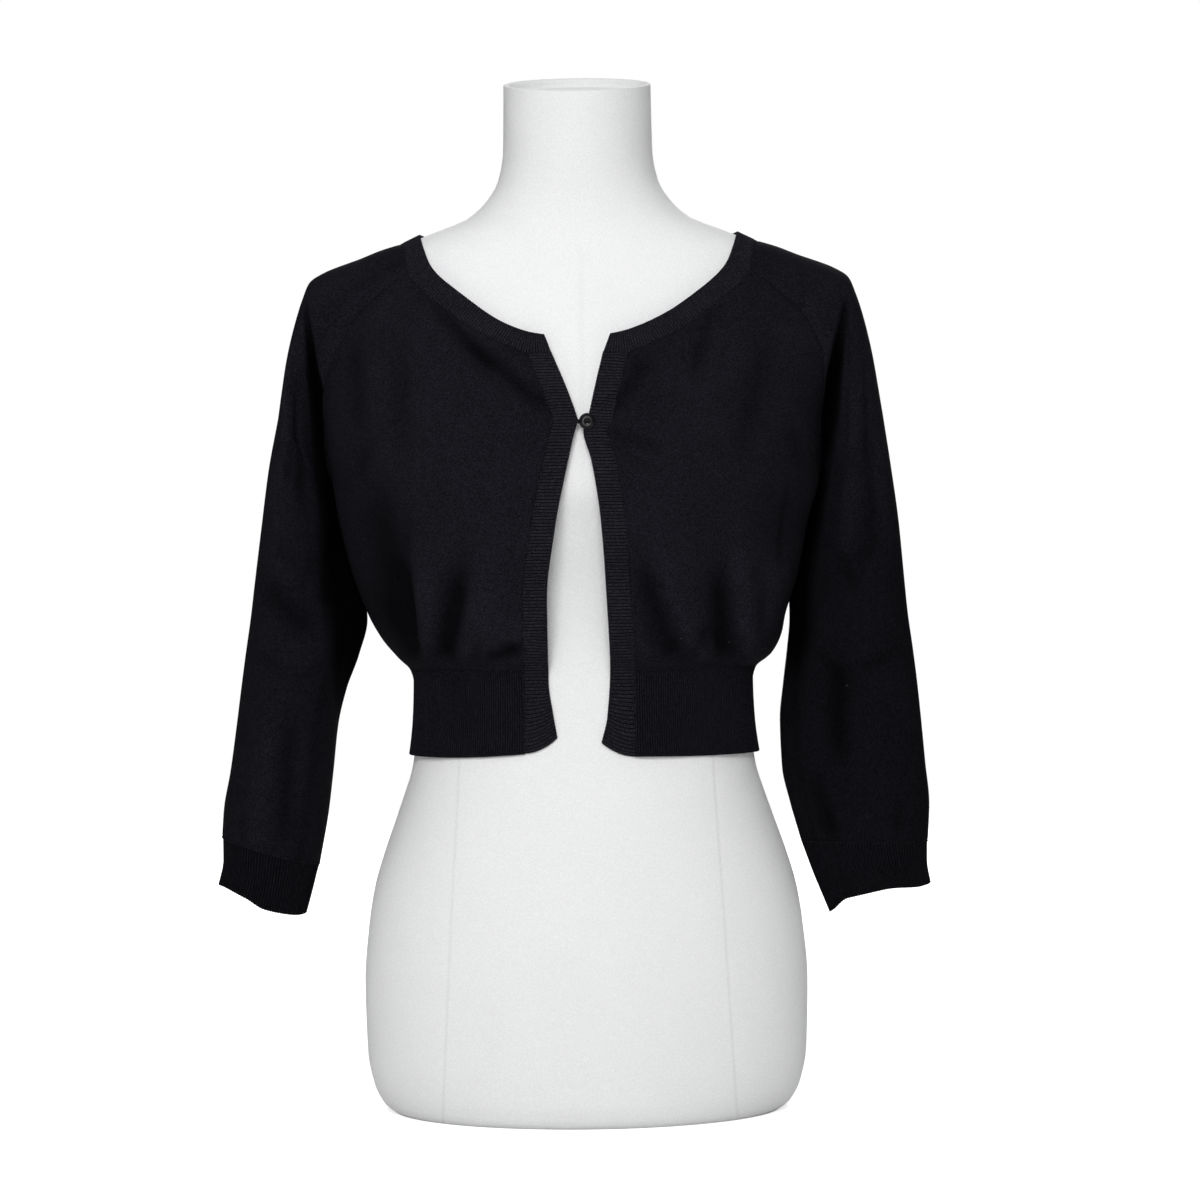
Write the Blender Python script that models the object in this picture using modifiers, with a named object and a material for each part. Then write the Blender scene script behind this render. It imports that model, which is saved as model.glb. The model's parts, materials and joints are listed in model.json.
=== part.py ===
"""A cropped, rib-trimmed raglan cardigan worn by a limbless dress form.

Metres, +Z up. The front faces -Y, and left and right are the wearer's, so the
wearer's left is +X. The form's flat base rests on z = 0, centred on the origin.
Every cloth piece is a wall on one surface: rings round the body, given by short
tables, with creases added along each ring's own normal.
"""

import math

import bmesh
import bpy
import numpy as np
from mathutils import Matrix, Vector

CLOTH = 0.0016
SEAM_GAP = 0.0004
BAND_GAP = 0.0008
FORM_GAP = 0.0010
UNDERARM_EASE = 0.0012
RIB_RAISE = 0.0003
RIB_SINK = 0.0002

WAIST_SEAM = 0.3380
WAISTBAND_NARROWEST = 0.3250
HEM = 0.2735
HEM_RISE_AT_FRONT = 0.006
BAND_FOOT = 0.2840
UNDERARM = 0.4880
NECKLINE_FRONT_CORNER = 0.5722
BAND_WIDTH = 0.0175
WAISTBAND_LENGTH = 0.70
NECKBAND_WIDTH = 0.0155

BAND_RIB = 0.0050
NECKBAND_RIB = 0.0058
CUFF_RIB = 0.0046
WAISTBAND_RIB = 0.0072
RIBS_PER_PLAIN_FACE = 2

PANEL_COLUMNS = 13
SIDE_ROWS = 9
RAGLAN_ROWS = 12
BACK_COLUMNS = 20
HALF_SLEEVE_COLUMNS = 9
CUFF_SAMPLES = 200
SLEEVE_ROWS = 15
FORM_COLUMNS = 30
HALF_GIRTH = 0.14

BUTTON_RADIUS = 0.0055
BUTTON_THICKNESS = 0.0022
BUTTON_RIM = 0.0009
BUTTON_DISH = 0.0006
BUTTON_HOLE = 0.0006
HOLE_DEPTH = 0.0009
HOLE_CUTTER = 0.004
BUTTON_HOLE_RING = 0.0014
BUTTON_LIFT = 0.0020
SHANK_RADIUS = 0.0012
BUTTON_AT = (0.0088, 0.5202)
LOOP_RADIUS = 0.0006
LOOP_EYE = 0.0024

# height, half width, front depth, back depth
FORM_SECTIONS = (
    (0.0000, 0.1480, 0.0980, 0.1060),
    (0.0060, 0.1560, 0.1035, 0.1115),
    (0.0200, 0.1635, 0.1080, 0.1160),
    (0.0450, 0.1685, 0.1095, 0.1180),
    (0.1000, 0.1700, 0.1085, 0.1165),
    (0.1430, 0.1665, 0.1060, 0.1120),
    (0.1710, 0.1620, 0.1040, 0.1060),
    (0.2000, 0.1535, 0.1010, 0.0960),
    (0.2250, 0.1445, 0.0985, 0.0870),
    (0.2450, 0.1375, 0.0965, 0.0800),
    (0.2620, 0.1322, 0.0950, 0.0757),
    (0.2740, 0.1303, 0.0940, 0.0742),
    (0.3000, 0.1284, 0.0926, 0.0727),
    (0.3350, 0.1276, 0.0916, 0.0717),
    (0.3600, 0.1290, 0.0920, 0.0722),
    (0.4000, 0.1345, 0.0960, 0.0745),
    (0.4400, 0.1420, 0.1080, 0.0790),
    (0.4800, 0.1490, 0.1210, 0.0830),
    (0.5100, 0.1530, 0.1180, 0.0865),
    (0.5400, 0.1600, 0.1085, 0.0890),
    (0.5700, 0.1700, 0.0965, 0.0895),
    (0.6000, 0.1810, 0.0825, 0.0855),
    (0.6200, 0.1850, 0.0725, 0.0790),
    (0.6350, 0.1790, 0.0650, 0.0725),
    (0.6490, 0.1640, 0.0595, 0.0665),
    (0.6580, 0.1480, 0.0575, 0.0640),
    (0.6660, 0.1295, 0.0550, 0.0610),
    (0.6745, 0.1080, 0.0535, 0.0585),
    (0.6820, 0.0880, 0.0525, 0.0570),
    (0.6980, 0.0700, 0.0525, 0.0560),
    (0.7130, 0.0615, 0.0530, 0.0555),
    (0.7350, 0.0575, 0.0535, 0.0555),
    (0.7870, 0.0566, 0.0550, 0.0550),
)
NECK_TILT = 0.259
NECK_TILT_FROM = 0.7050
NECK_RIM = 0.0040
NECK_DISH = 0.0060

# height, half width, front depth, back depth, centre in x: the cloth's outer face
BODY_SECTIONS = (
    (0.2600, 0.1338, 0.0982, 0.0782, 0.000),
    (0.2740, 0.1328, 0.0966, 0.0768, 0.000),
    (0.3000, 0.1310, 0.0950, 0.0752, 0.000),
    (0.3300, 0.1303, 0.0942, 0.0744, 0.000),
    (0.3380, 0.1330, 0.0965, 0.0765, 0.000),
    (0.3470, 0.1430, 0.1040, 0.0840, 0.001),
    (0.3620, 0.1535, 0.1120, 0.0900, -0.001),
    (0.3800, 0.1605, 0.1170, 0.0930, -0.004),
    (0.4100, 0.1685, 0.1220, 0.0950, -0.005),
    (0.4500, 0.1785, 0.1280, 0.0960, -0.002),
    (0.4800, 0.1835, 0.1290, 0.0960, 0.000),
    (0.5050, 0.1880, 0.1270, 0.0965, 0.000),
    (0.5300, 0.1945, 0.1200, 0.0975, 0.000),
    (0.5550, 0.2005, 0.1110, 0.0980, 0.000),
    (0.5800, 0.2030, 0.1005, 0.0965, 0.000),
    (0.6000, 0.2000, 0.0915, 0.0920, 0.000),
    (0.6200, 0.1915, 0.0820, 0.0865, 0.000),
    (0.6400, 0.1775, 0.0725, 0.0795, 0.000),
    (0.6550, 0.1610, 0.0655, 0.0725, 0.000),
    (0.6700, 0.1400, 0.0600, 0.0660, 0.000),
    (0.6900, 0.1050, 0.0540, 0.0600, 0.000),
)

# share of the seam from the neck down to the underarm, distance from the middle, height
RAGLAN_FRONT = (
    (0.00, 0.1295, 0.6385),
    (0.25, 0.1500, 0.6220),
    (0.45, 0.1660, 0.6080),
    (0.60, 0.1770, 0.5925),
    (0.72, 0.1850, 0.5730),
    (0.86, 0.1900, 0.5460),
    (0.94, 0.1880, 0.5180),
)
RAGLAN_BACK = (
    (0.00, 0.1180, 0.6520),
    (0.25, 0.1370, 0.6390),
    (0.45, 0.1530, 0.6230),
    (0.60, 0.1650, 0.6040),
    (0.72, 0.1755, 0.5800),
    (0.86, 0.1850, 0.5480),
    (0.94, 0.1850, 0.5190),
)
# share, x and height of the shoulder line; how far each arch leaves it along y; and the
# way, in x, y and z, by which the arch comes to its seam, with y as at the front
SHOULDER = (
    (0.00, 0.1300, 0.6685, 0.026, 0.000, 0.010, 0.016),
    (0.12, 0.1450, 0.6625, 0.029, 0.004, 0.009, 0.016),
    (0.25, 0.1680, 0.6540, 0.032, 0.008, 0.006, 0.015),
    (0.40, 0.1960, 0.6435, 0.036, 0.013, -0.001, 0.013),
    (0.50, 0.2070, 0.6360, 0.040, 0.015, -0.007, 0.011),
    (0.60, 0.2120, 0.6240, 0.044, 0.015, -0.013, 0.009),
    (0.72, 0.2175, 0.6060, 0.049, 0.013, -0.022, 0.006),
    (0.86, 0.2245, 0.5760, 0.055, 0.009, -0.036, 0.001),
    (1.00, 0.2320, 0.5320, 0.061, 0.004, -0.058, -0.002),
)

# drop 1 at the underarm and 2 at the cuff seam; outer and inner edge as x and height;
# depth before and behind the middle, and where that middle lies in y
SLEEVE_RIGHT = (
    (1.00, 0.2325, 0.5320, 0.1847, 0.4880, 0.045, 0.044, 0.000),
    (1.10, 0.2400, 0.4920, 0.1875, 0.4640, 0.045, 0.043, 0.000),
    (1.22, 0.2460, 0.4480, 0.1865, 0.4320, 0.045, 0.042, -0.001),
    (1.34, 0.2515, 0.4060, 0.1785, 0.4010, 0.044, 0.041, -0.002),
    (1.42, 0.2550, 0.3780, 0.1705, 0.3760, 0.043, 0.040, -0.003),
    (1.50, 0.2590, 0.3510, 0.1735, 0.3500, 0.042, 0.040, -0.004),
    (1.58, 0.2625, 0.3250, 0.1820, 0.3240, 0.041, 0.040, -0.005),
    (1.68, 0.2660, 0.2980, 0.1885, 0.2970, 0.041, 0.040, -0.006),
    (1.80, 0.2710, 0.2620, 0.1925, 0.2610, 0.041, 0.039, -0.008),
    (1.90, 0.2760, 0.2350, 0.1965, 0.2290, 0.040, 0.037, -0.009),
    (2.00, 0.2778, 0.2120, 0.2035, 0.1905, 0.036, 0.034, -0.010),
)
SLEEVE_LEFT = (
    (1.00, 0.2320, 0.5320, 0.1847, 0.4880, 0.045, 0.044, 0.000),
    (1.10, 0.2380, 0.4920, 0.1870, 0.4640, 0.044, 0.043, 0.000),
    (1.22, 0.2438, 0.4480, 0.1845, 0.4320, 0.042, 0.041, 0.000),
    (1.34, 0.2475, 0.4060, 0.1720, 0.4010, 0.038, 0.037, -0.001),
    (1.42, 0.2500, 0.3780, 0.1635, 0.3760, 0.035, 0.034, -0.002),
    (1.50, 0.2535, 0.3510, 0.1570, 0.3500, 0.032, 0.031, -0.003),
    (1.58, 0.2565, 0.3250, 0.1535, 0.3240, 0.029, 0.029, -0.004),
    (1.68, 0.2590, 0.2980, 0.1508, 0.2970, 0.027, 0.027, -0.005),
    (1.80, 0.2620, 0.2620, 0.1520, 0.2610, 0.026, 0.026, -0.006),
    (1.90, 0.2645, 0.2330, 0.1580, 0.2330, 0.027, 0.027, -0.007),
    (2.00, 0.2630, 0.2030, 0.1660, 0.2040, 0.026, 0.026, -0.008),
)
# share from the cuff seam to the hem, then as for the sleeves: outer x, height, inner x, height, depths, middle in y
CUFF_RIGHT = (
    (0.00, 0.2768, 0.2116, 0.2045, 0.1901, 0.0345, 0.0325, -0.010),
    (0.45, 0.2768, 0.1940, 0.2085, 0.1730, 0.0310, 0.0290, -0.010),
    (1.00, 0.2806, 0.1725, 0.2140, 0.1510, 0.0320, 0.0300, -0.011),
)
CUFF_LEFT = (
    (0.00, 0.2622, 0.2026, 0.1670, 0.2036, 0.0250, 0.0250, -0.008),
    (0.45, 0.2620, 0.1870, 0.1745, 0.1810, 0.0245, 0.0245, -0.008),
    (1.00, 0.2645, 0.1680, 0.1870, 0.1510, 0.0270, 0.0270, -0.009),
)

# height and x of each front's free edge, from the hem up to the neckband
FREE_EDGE_RIGHT = (
    (0.2840, -0.0195),
    (0.3030, -0.0225),
    (0.3320, -0.0258),
    (0.3900, -0.0258),
    (0.4409, -0.0195),
    (0.4900, -0.0095),
    (0.5136, -0.0040),
    (0.5209, -0.0018),
    (0.5267, -0.0032),
    (0.5450, -0.0095),
    (0.5722, -0.0205),
)
FREE_EDGE_LEFT = (
    (0.2840, 0.0140),
    (0.3030, 0.0185),
    (0.3390, 0.0210),
    (0.3900, 0.0190),
    (0.4482, 0.0152),
    (0.4918, 0.0088),
    (0.5136, 0.0032),
    (0.5209, 0.0060),
    (0.5267, 0.0075),
    (0.5450, 0.0115),
    (0.5722, 0.0180),
)
# share from the raglan seam to the front band, distance from the middle, height
NECKLINE_FRONT = (
    (0.00, 0.1295, 0.6385),
    (0.13, 0.1190, 0.6250),
    (0.32, 0.0995, 0.6085),
    (0.54, 0.0790, 0.5925),
    (0.76, 0.0580, 0.5810),
    (1.00, 0.0385, 0.5722),
)
NECKLINE_BACK_DIP = 0.0050

# start x and height, end x and height, half width, depth: sunk where negative
FRONT_CREASES = (
    (-0.112, 0.606, -0.060, 0.552, 0.007, -0.0040),
    (-0.080, 0.578, -0.020, 0.530, 0.006, -0.0045),
    (-0.092, 0.594, -0.036, 0.545, 0.006, 0.0030),
    (-0.165, 0.575, -0.160, 0.530, 0.009, -0.0055),
    (-0.135, 0.575, -0.130, 0.520, 0.010, -0.0040),
    (-0.084, 0.412, -0.100, 0.350, 0.007, -0.0075),
    (-0.068, 0.408, -0.083, 0.350, 0.008, 0.0045),
    (-0.126, 0.415, -0.120, 0.352, 0.007, -0.0060),
    (-0.142, 0.408, -0.131, 0.350, 0.008, 0.0055),
    (-0.106, 0.402, -0.110, 0.352, 0.006, 0.0045),
    (-0.070, 0.372, -0.072, 0.345, 0.005, -0.0035),
    (-0.042, 0.356, -0.068, 0.344, 0.005, -0.0055),
    (-0.048, 0.374, -0.060, 0.360, 0.008, 0.0045),
    (-0.128, 0.452, -0.128, 0.432, 0.007, -0.0030),
    (-0.152, 0.485, -0.143, 0.440, 0.010, -0.0045),
    (0.102, 0.592, 0.090, 0.562, 0.007, -0.0040),
    (0.060, 0.572, 0.026, 0.530, 0.006, -0.0045),
    (0.046, 0.562, 0.024, 0.540, 0.006, 0.0025),
    (0.028, 0.512, 0.060, 0.497, 0.007, -0.0040),
    (0.142, 0.578, 0.125, 0.520, 0.011, -0.0035),
    (0.046, 0.416, 0.072, 0.352, 0.007, -0.0060),
    (0.060, 0.412, 0.090, 0.350, 0.008, 0.0045),
    (0.080, 0.364, 0.098, 0.345, 0.006, -0.0050),
    (0.106, 0.405, 0.112, 0.350, 0.007, -0.0065),
    (0.121, 0.428, 0.129, 0.352, 0.008, 0.0060),
    (0.157, 0.468, 0.149, 0.424, 0.008, -0.0055),
    (0.149, 0.424, 0.143, 0.378, 0.009, 0.0045),
)
BACK_CREASES = (
    (-0.120, 0.560, -0.105, 0.500, 0.012, -0.0040),
    (0.122, 0.565, 0.100, 0.505, 0.012, -0.0045),
    (-0.100, 0.410, -0.108, 0.350, 0.009, -0.0060),
    (-0.084, 0.405, -0.090, 0.350, 0.009, 0.0040),
    (-0.040, 0.395, -0.048, 0.350, 0.009, -0.0050),
    (-0.024, 0.390, -0.028, 0.350, 0.009, 0.0035),
    (0.010, 0.400, 0.014, 0.350, 0.009, -0.0055),
    (0.028, 0.400, 0.032, 0.350, 0.009, 0.0040),
    (0.058, 0.405, 0.070, 0.350, 0.009, -0.0050),
    (0.078, 0.405, 0.088, 0.350, 0.009, 0.0040),
    (0.108, 0.415, 0.106, 0.350, 0.009, -0.0055),
    (-0.030, 0.520, 0.030, 0.512, 0.014, -0.0030),
)
# place round the sleeve, -1 at the front seam, 0 outside, 1 at the back seam, and height
# at each end, then half width in metres and depth
SLEEVE_CREASES_RIGHT = (
    (-0.62, 0.560, -0.58, 0.470, 0.010, -0.0050),
    (-0.40, 0.600, -0.36, 0.500, 0.009, 0.0035),
    (-0.48, 0.540, -0.42, 0.480, 0.008, -0.0045),
    (-0.80, 0.450, -0.70, 0.385, 0.010, -0.0045),
    (-0.55, 0.300, -0.60, 0.222, 0.008, -0.0055),
    (-0.38, 0.300, -0.42, 0.222, 0.008, 0.0030),
    (-0.20, 0.410, -0.55, 0.370, 0.012, -0.0030),
    (0.45, 0.560, 0.55, 0.470, 0.010, -0.0045),
    (0.30, 0.420, 0.60, 0.375, 0.011, -0.0040),
    (0.50, 0.300, 0.45, 0.225, 0.009, -0.0045),
)
SLEEVE_CREASES_LEFT = (
    (-0.60, 0.600, -0.66, 0.560, 0.008, -0.0050),
    (-0.42, 0.590, -0.44, 0.450, 0.009, 0.0035),
    (-0.62, 0.520, -0.60, 0.440, 0.010, -0.0045),
    (-0.35, 0.330, -0.60, 0.290, 0.011, -0.0030),
    (-0.50, 0.270, -0.52, 0.215, 0.008, -0.0040),
    (0.45, 0.560, 0.55, 0.470, 0.010, -0.0045),
    (0.35, 0.400, 0.60, 0.360, 0.011, -0.0040),
    (0.50, 0.280, 0.48, 0.215, 0.009, -0.0040),
)


def smooth(table, at):
    """The table's columns at these values of its first one, with no overshoot."""
    rows = np.array(table, float)
    keys, values = rows[:, 0], rows[:, 1:]
    steps = np.diff(keys)[:, None]
    slopes = np.diff(values, axis=0) / steps
    tangents = np.empty_like(values)
    tangents[0] = slopes[0]
    tangents[-1] = slopes[-1]
    same_way = slopes[:-1] * slopes[1:] > 0
    total = np.where(same_way, slopes[:-1] + slopes[1:], 1.0)
    tangents[1:-1] = np.where(same_way, 2 * slopes[:-1] * slopes[1:] / total, 0.0)
    at = np.clip(np.asarray(at, float), keys[0], keys[-1])
    i = np.clip(np.searchsorted(keys, at, side="right") - 1, 0, len(keys) - 2)
    step = steps[i]
    t = ((at - keys[i])[..., None]) / step
    return (
        values[i] * (1 + 2 * t) * (1 - t) ** 2
        + tangents[i] * step * t * (1 - t) ** 2
        + values[i + 1] * t * t * (3 - 2 * t)
        + tangents[i + 1] * step * t * t * (t - 1)
    )


def unit(vectors):
    return vectors / np.linalg.norm(vectors, axis=-1, keepdims=True)


def ramp(value):
    """0 below 0 and 1 above 1, eased between."""
    value = np.clip(value, 0, 1)
    return value * value * (3 - 2 * value)


def ring(sections, angle, height):
    """A point of the section at this height; angle 0 is the front and pi/2 the wearer's left."""
    sizes = smooth(sections, height)
    width, front, back = sizes[..., 0], sizes[..., 1], sizes[..., 2]
    middle = sizes[..., 3] if sizes.shape[-1] > 3 else 0.0
    depth = np.where(np.cos(angle) > 0, front, back)
    x = middle + width * np.sin(angle)
    return np.stack([x, -depth * np.cos(angle), height + 0 * x], axis=-1)


def crease_depth(creases, across, height):
    """Each crease is a soft groove or ridge round a straight line."""
    total = np.zeros(np.shape(across))
    for from_x, from_z, to_x, to_z, half_width, depth in creases:
        run_x, run_z = to_x - from_x, to_z - from_z
        length2 = run_x**2 + run_z**2
        along = ((across - from_x) * run_x + (height - from_z) * run_z) / length2
        along = np.clip(along, 0, 1)
        far2 = (across - from_x - along * run_x) ** 2 + (height - from_z - along * run_z) ** 2
        total = total + depth * np.exp(-far2 / half_width**2)
    return total


def body(angle, height):
    """The cardigan's outer face round the body, with its creases."""
    angle, height = np.broadcast_arrays(np.asarray(angle, float), np.asarray(height, float))
    point = ring(BODY_SECTIONS, angle, height)
    step = 1e-3
    round_it = ring(BODY_SECTIONS, angle + step, height) - ring(BODY_SECTIONS, angle - step, height)
    up_it = ring(BODY_SECTIONS, angle, height + step) - ring(BODY_SECTIONS, angle, height - step)
    outward = unit(np.cross(round_it, up_it))
    facing = np.cos(angle)
    depth = crease_depth(FRONT_CREASES, point[..., 0], height) * ramp(facing / 0.3)
    depth = depth + crease_depth(BACK_CREASES, point[..., 0], height) * ramp(-facing / 0.3)
    held = ramp((height - WAIST_SEAM) / 0.012)
    return point + outward * (depth * held)[..., None]


def angle_at(x, height, behind=False):
    """The ring angle of a point this far from the middle, on the front or the back."""
    sizes = smooth(BODY_SECTIONS, height)
    turn = np.arcsin(np.clip((x - sizes[..., 3]) / sizes[..., 0], -1, 1))
    return math.pi - turn if behind else turn


def free_edge(side, height):
    return smooth(FREE_EDGE_LEFT if side > 0 else FREE_EDGE_RIGHT, height)[..., 0]


def band_seam(side, height):
    """The front band's sewn edge, straight down beside the waistband."""
    return free_edge(side, np.maximum(height, WAIST_SEAM)) + side * BAND_WIDTH


def coons(left, right, bottom, top):
    """A sheet of chart points between four edges; left and right run up, the others across."""
    v = np.linspace(0, 1, len(left))[:, None, None]
    u = np.linspace(0, 1, len(bottom))[None, :, None]
    across = (1 - u) * left[:, None] + u * right[:, None]
    upward = (1 - v) * bottom[None] + v * top[None]
    corners = (1 - v) * ((1 - u) * bottom[0] + u * bottom[-1])
    corners = corners + v * ((1 - u) * top[0] + u * top[-1])
    return across + upward - corners


def side_and_raglan(side, raglan, behind):
    """Chart points up the side seam to the underarm, then up the raglan seam."""
    side_angle = side * math.pi / 2
    if behind and side < 0:
        side_angle = 3 * math.pi / 2
    low = np.linspace(WAIST_SEAM, UNDERARM, SIDE_ROWS + 1)
    straight = np.stack([np.full_like(low, side_angle), low], axis=-1)
    share = np.linspace(1, 0, RAGLAN_ROWS + 1)[1:]
    last = raglan[-1][0]
    places = smooth(raglan, np.minimum(share, last))
    angles = angle_at(side * places[:, 0], places[:, 1], behind)
    slanted = np.stack([angles, places[:, 1]], axis=-1)
    start = np.array([side_angle, UNDERARM])
    end = slanted[share <= last][0]
    for i, value in enumerate(share):
        if value > last:
            t = (1 - value) / (1 - share[share <= last][0])
            slanted[i] = start * (1 - t) + end * t
    return np.concatenate([straight, slanted])


def front_chart(side):
    left = side_and_raglan(side, RAGLAN_FRONT, False)
    heights = np.linspace(WAIST_SEAM, NECKLINE_FRONT_CORNER, len(left))
    seam_x = band_seam(side, heights)
    right = np.stack([angle_at(seam_x, heights), heights], axis=-1)
    share = np.linspace(0, 1, PANEL_COLUMNS + 1)
    bottom = left[0] + (right[0] - left[0]) * share[:, None]
    places = smooth(NECKLINE_FRONT, share)
    corner_x = abs(seam_x[-1])
    places[:, 0] += (corner_x - places[-1, 0]) * ramp((share - 0.5) * 2)
    top = np.stack([angle_at(side * places[:, 0], places[:, 1]), places[:, 1]], axis=-1)
    top[0] = left[-1]
    top[-1] = right[-1]
    return coons(left, right, bottom, top)


def back_chart():
    left = side_and_raglan(1, RAGLAN_BACK, True)
    right = side_and_raglan(-1, RAGLAN_BACK, True)
    share = np.linspace(0, 1, BACK_COLUMNS + 1)
    bottom = left[0] + (right[0] - left[0]) * share[:, None]
    top = left[-1] + (right[-1] - left[-1]) * share[:, None]
    top[:, 1] -= NECKLINE_BACK_DIP * np.sin(math.pi * share)
    return coons(left, right, bottom, top)


def half_arch(crown, lean, push, foot, columns):
    """Points from the crown, leaving along y, to the foot, arriving from foot + push."""
    t = np.linspace(0, 1, columns + 1)[:, None]
    away = crown + np.array([0, lean, 0])
    return (
        crown * (1 - t) ** 3
        + 3 * away * t * (1 - t) ** 2
        + 3 * (foot + push) * t * t * (1 - t)
        + foot * t**3
    )


def tube_ring(sizes, side, columns):
    """One closed round of a sleeve, from its inner edge past the front, outside and back."""
    outer_x, outer_z, inner_x, inner_z, front, back, middle = sizes
    crown = np.array([side * outer_x, middle, outer_z])
    foot = np.array([side * inner_x, middle, inner_z])
    full = 4 / 3
    before = half_arch(crown, -front * full, np.array([0, -front * full, 0]), foot, columns)
    behind = half_arch(crown, back * full, np.array([0, back * full, 0]), foot, columns)
    return np.concatenate([before[::-1], behind[1:]])


def sleeve_points(side, front_seam, back_seam, front_normals, back_normals):
    """Arches from seam to seam down to the underarm, then rounds down to the cuff."""
    table = SLEEVE_LEFT if side > 0 else SLEEVE_RIGHT
    rows = []
    for i in range(RAGLAN_ROWS):
        share = i / RAGLAN_ROWS
        x, z, reach, push_x, push_y, push_z = smooth(SHOULDER, np.array(share))
        crown = np.array([side * x, 0.0, z])
        lift = UNDERARM_EASE * ramp(np.array(share))
        front_foot = front_seam[i] + front_normals[i] * lift
        back_foot = back_seam[i] + back_normals[i] * lift
        front_push = np.array([side * push_x, push_y, push_z])
        back_push = np.array([side * push_x, -push_y, push_z])
        before = half_arch(crown, -reach, front_push, front_foot, HALF_SLEEVE_COLUMNS)
        behind = half_arch(crown, reach, back_push, back_foot, HALF_SLEEVE_COLUMNS)
        rows.append(np.concatenate([before[::-1], behind[1:]]))
    for drop in np.linspace(1, 2, SLEEVE_ROWS + 1):
        rows.append(tube_ring(smooth(table, drop), side, HALF_SLEEVE_COLUMNS))
    return np.array(rows)


def normals_of(points, outward_at, wrap=False):
    """Unit normals of a sheet of points, turned the way outward_at says at its middle."""
    down = np.gradient(points, axis=0)
    if wrap:
        ringed = np.concatenate([points[:, -2:-1], points, points[:, 1:2]], axis=1)
        across = (ringed[:, 2:] - ringed[:, :-2]) / 2
    else:
        across = np.gradient(points, axis=1)
    normals = unit(np.cross(down, across))
    i, j = len(points) // 2, points.shape[1] // 2
    return normals if normals[i, j] @ outward_at(points[i, j]) > 0 else -normals


def from_axis(point):
    return np.array([point[0], point[1], 0.0])


def sleeve_normals(points, side):
    """Open arches above the underarm and closed rounds below it."""
    outside = lambda point: np.array([side, 0.0, 0.0])
    normals = normals_of(points, outside)
    closed = normals_of(points[RAGLAN_ROWS:], outside, wrap=True)
    normals[RAGLAN_ROWS + 1 :] = closed[1:]
    normals[RAGLAN_ROWS, 1:-1] = closed[0, 1:-1]
    normals[RAGLAN_ROWS, [0, -1]] = unit(closed[1, 0] + closed[1, -1])
    return normals


def crease_sleeve(points, normals, creases):
    """Moves a sleeve's points along their normals, less and less towards its seams."""
    columns = points.shape[1]
    around = np.linspace(-1, 1, columns)[None, :] + 0 * points[..., 0]
    creases = [
        (a0 * HALF_GIRTH, z0, a1 * HALF_GIRTH, z1, width, depth)
        for a0, z0, a1, z1, width, depth in creases
    ]
    depth = crease_depth(creases, around * HALF_GIRTH, points[..., 2])
    depth = depth * ramp((1 - np.abs(around)) / 0.2)
    return points + normals * depth[..., None]


def pulled_in(points, gaps, wrap_from=None):
    """Draws the sheet's edges in: gaps are for the first row, last row, first and last column."""
    moved = points.copy()
    first_row, last_row, first_column, last_column = gaps
    if first_row:
        moved[0] += unit(points[1] - points[0]) * first_row
    if last_row:
        moved[-1] += unit(points[-2] - points[-1]) * last_row
    stop = len(points) if wrap_from is None else wrap_from
    if first_column:
        moved[:stop, 0] += unit(points[:stop, 1] - points[:stop, 0]) * first_column
    if last_column:
        moved[:stop, -1] += unit(points[:stop, -2] - points[:stop, -1]) * last_column
    return moved


def add_material(name, colour, roughness, metallic=0.0):
    material = bpy.data.materials.new(name)
    material.use_nodes = True
    shader = material.node_tree.nodes["Principled BSDF"]
    shader.inputs["Base Color"].default_value = (*colour, 1)
    shader.inputs["Roughness"].default_value = roughness
    shader.inputs["Metallic"].default_value = metallic
    return material


def add_object(name, form, material, group):
    mesh = bpy.data.meshes.new(name)
    bmesh.ops.recalc_face_normals(form, faces=form.faces)
    form.to_mesh(mesh)
    form.free()
    mesh.materials.append(material)
    mesh.shade_smooth()
    mesh.set_sharp_from_angle(angle=math.radians(40))
    made = bpy.data.objects.new(name, mesh)
    group.objects.link(made)
    return made


def cloth_wall(name, outer, inner, material, group, joined_rows=None):
    """A wall between two sheets of points. Rows from joined_rows on close into rounds."""
    rows, columns = outer.shape[:2]
    form = bmesh.new()
    sheets = []
    for points in (outer, inner):
        corners = [[form.verts.new(p) for p in row] for row in points]
        if joined_rows is not None:
            for row in corners[joined_rows:]:
                form.verts.remove(row[-1])
                row[-1] = row[0]
        sheets.append(corners)
    for corners, turned in zip(sheets, (False, True)):
        for i in range(rows - 1):
            for j in range(columns - 1):
                face = [corners[i][j], corners[i + 1][j]]
                face += [corners[i + 1][j + 1], corners[i][j + 1]]
                form.faces.new(face[::-1] if turned else face)
    partner = {a: b for row, other in zip(*sheets) for a, b in zip(row, other)}
    for edge in [e for e in form.edges if e.is_boundary and e.verts[0] in partner]:
        a, b = edge.verts
        form.faces.new((a, b, partner[b], partner[a]))
    return add_object(name, form, material, group)


def rib_columns(length, rib):
    """Columns for ribs of about this width: a whole number of faces on the plain inside."""
    return 2 * RIBS_PER_PLAIN_FACE * round(length / rib / RIBS_PER_PLAIN_FACE)


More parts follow.
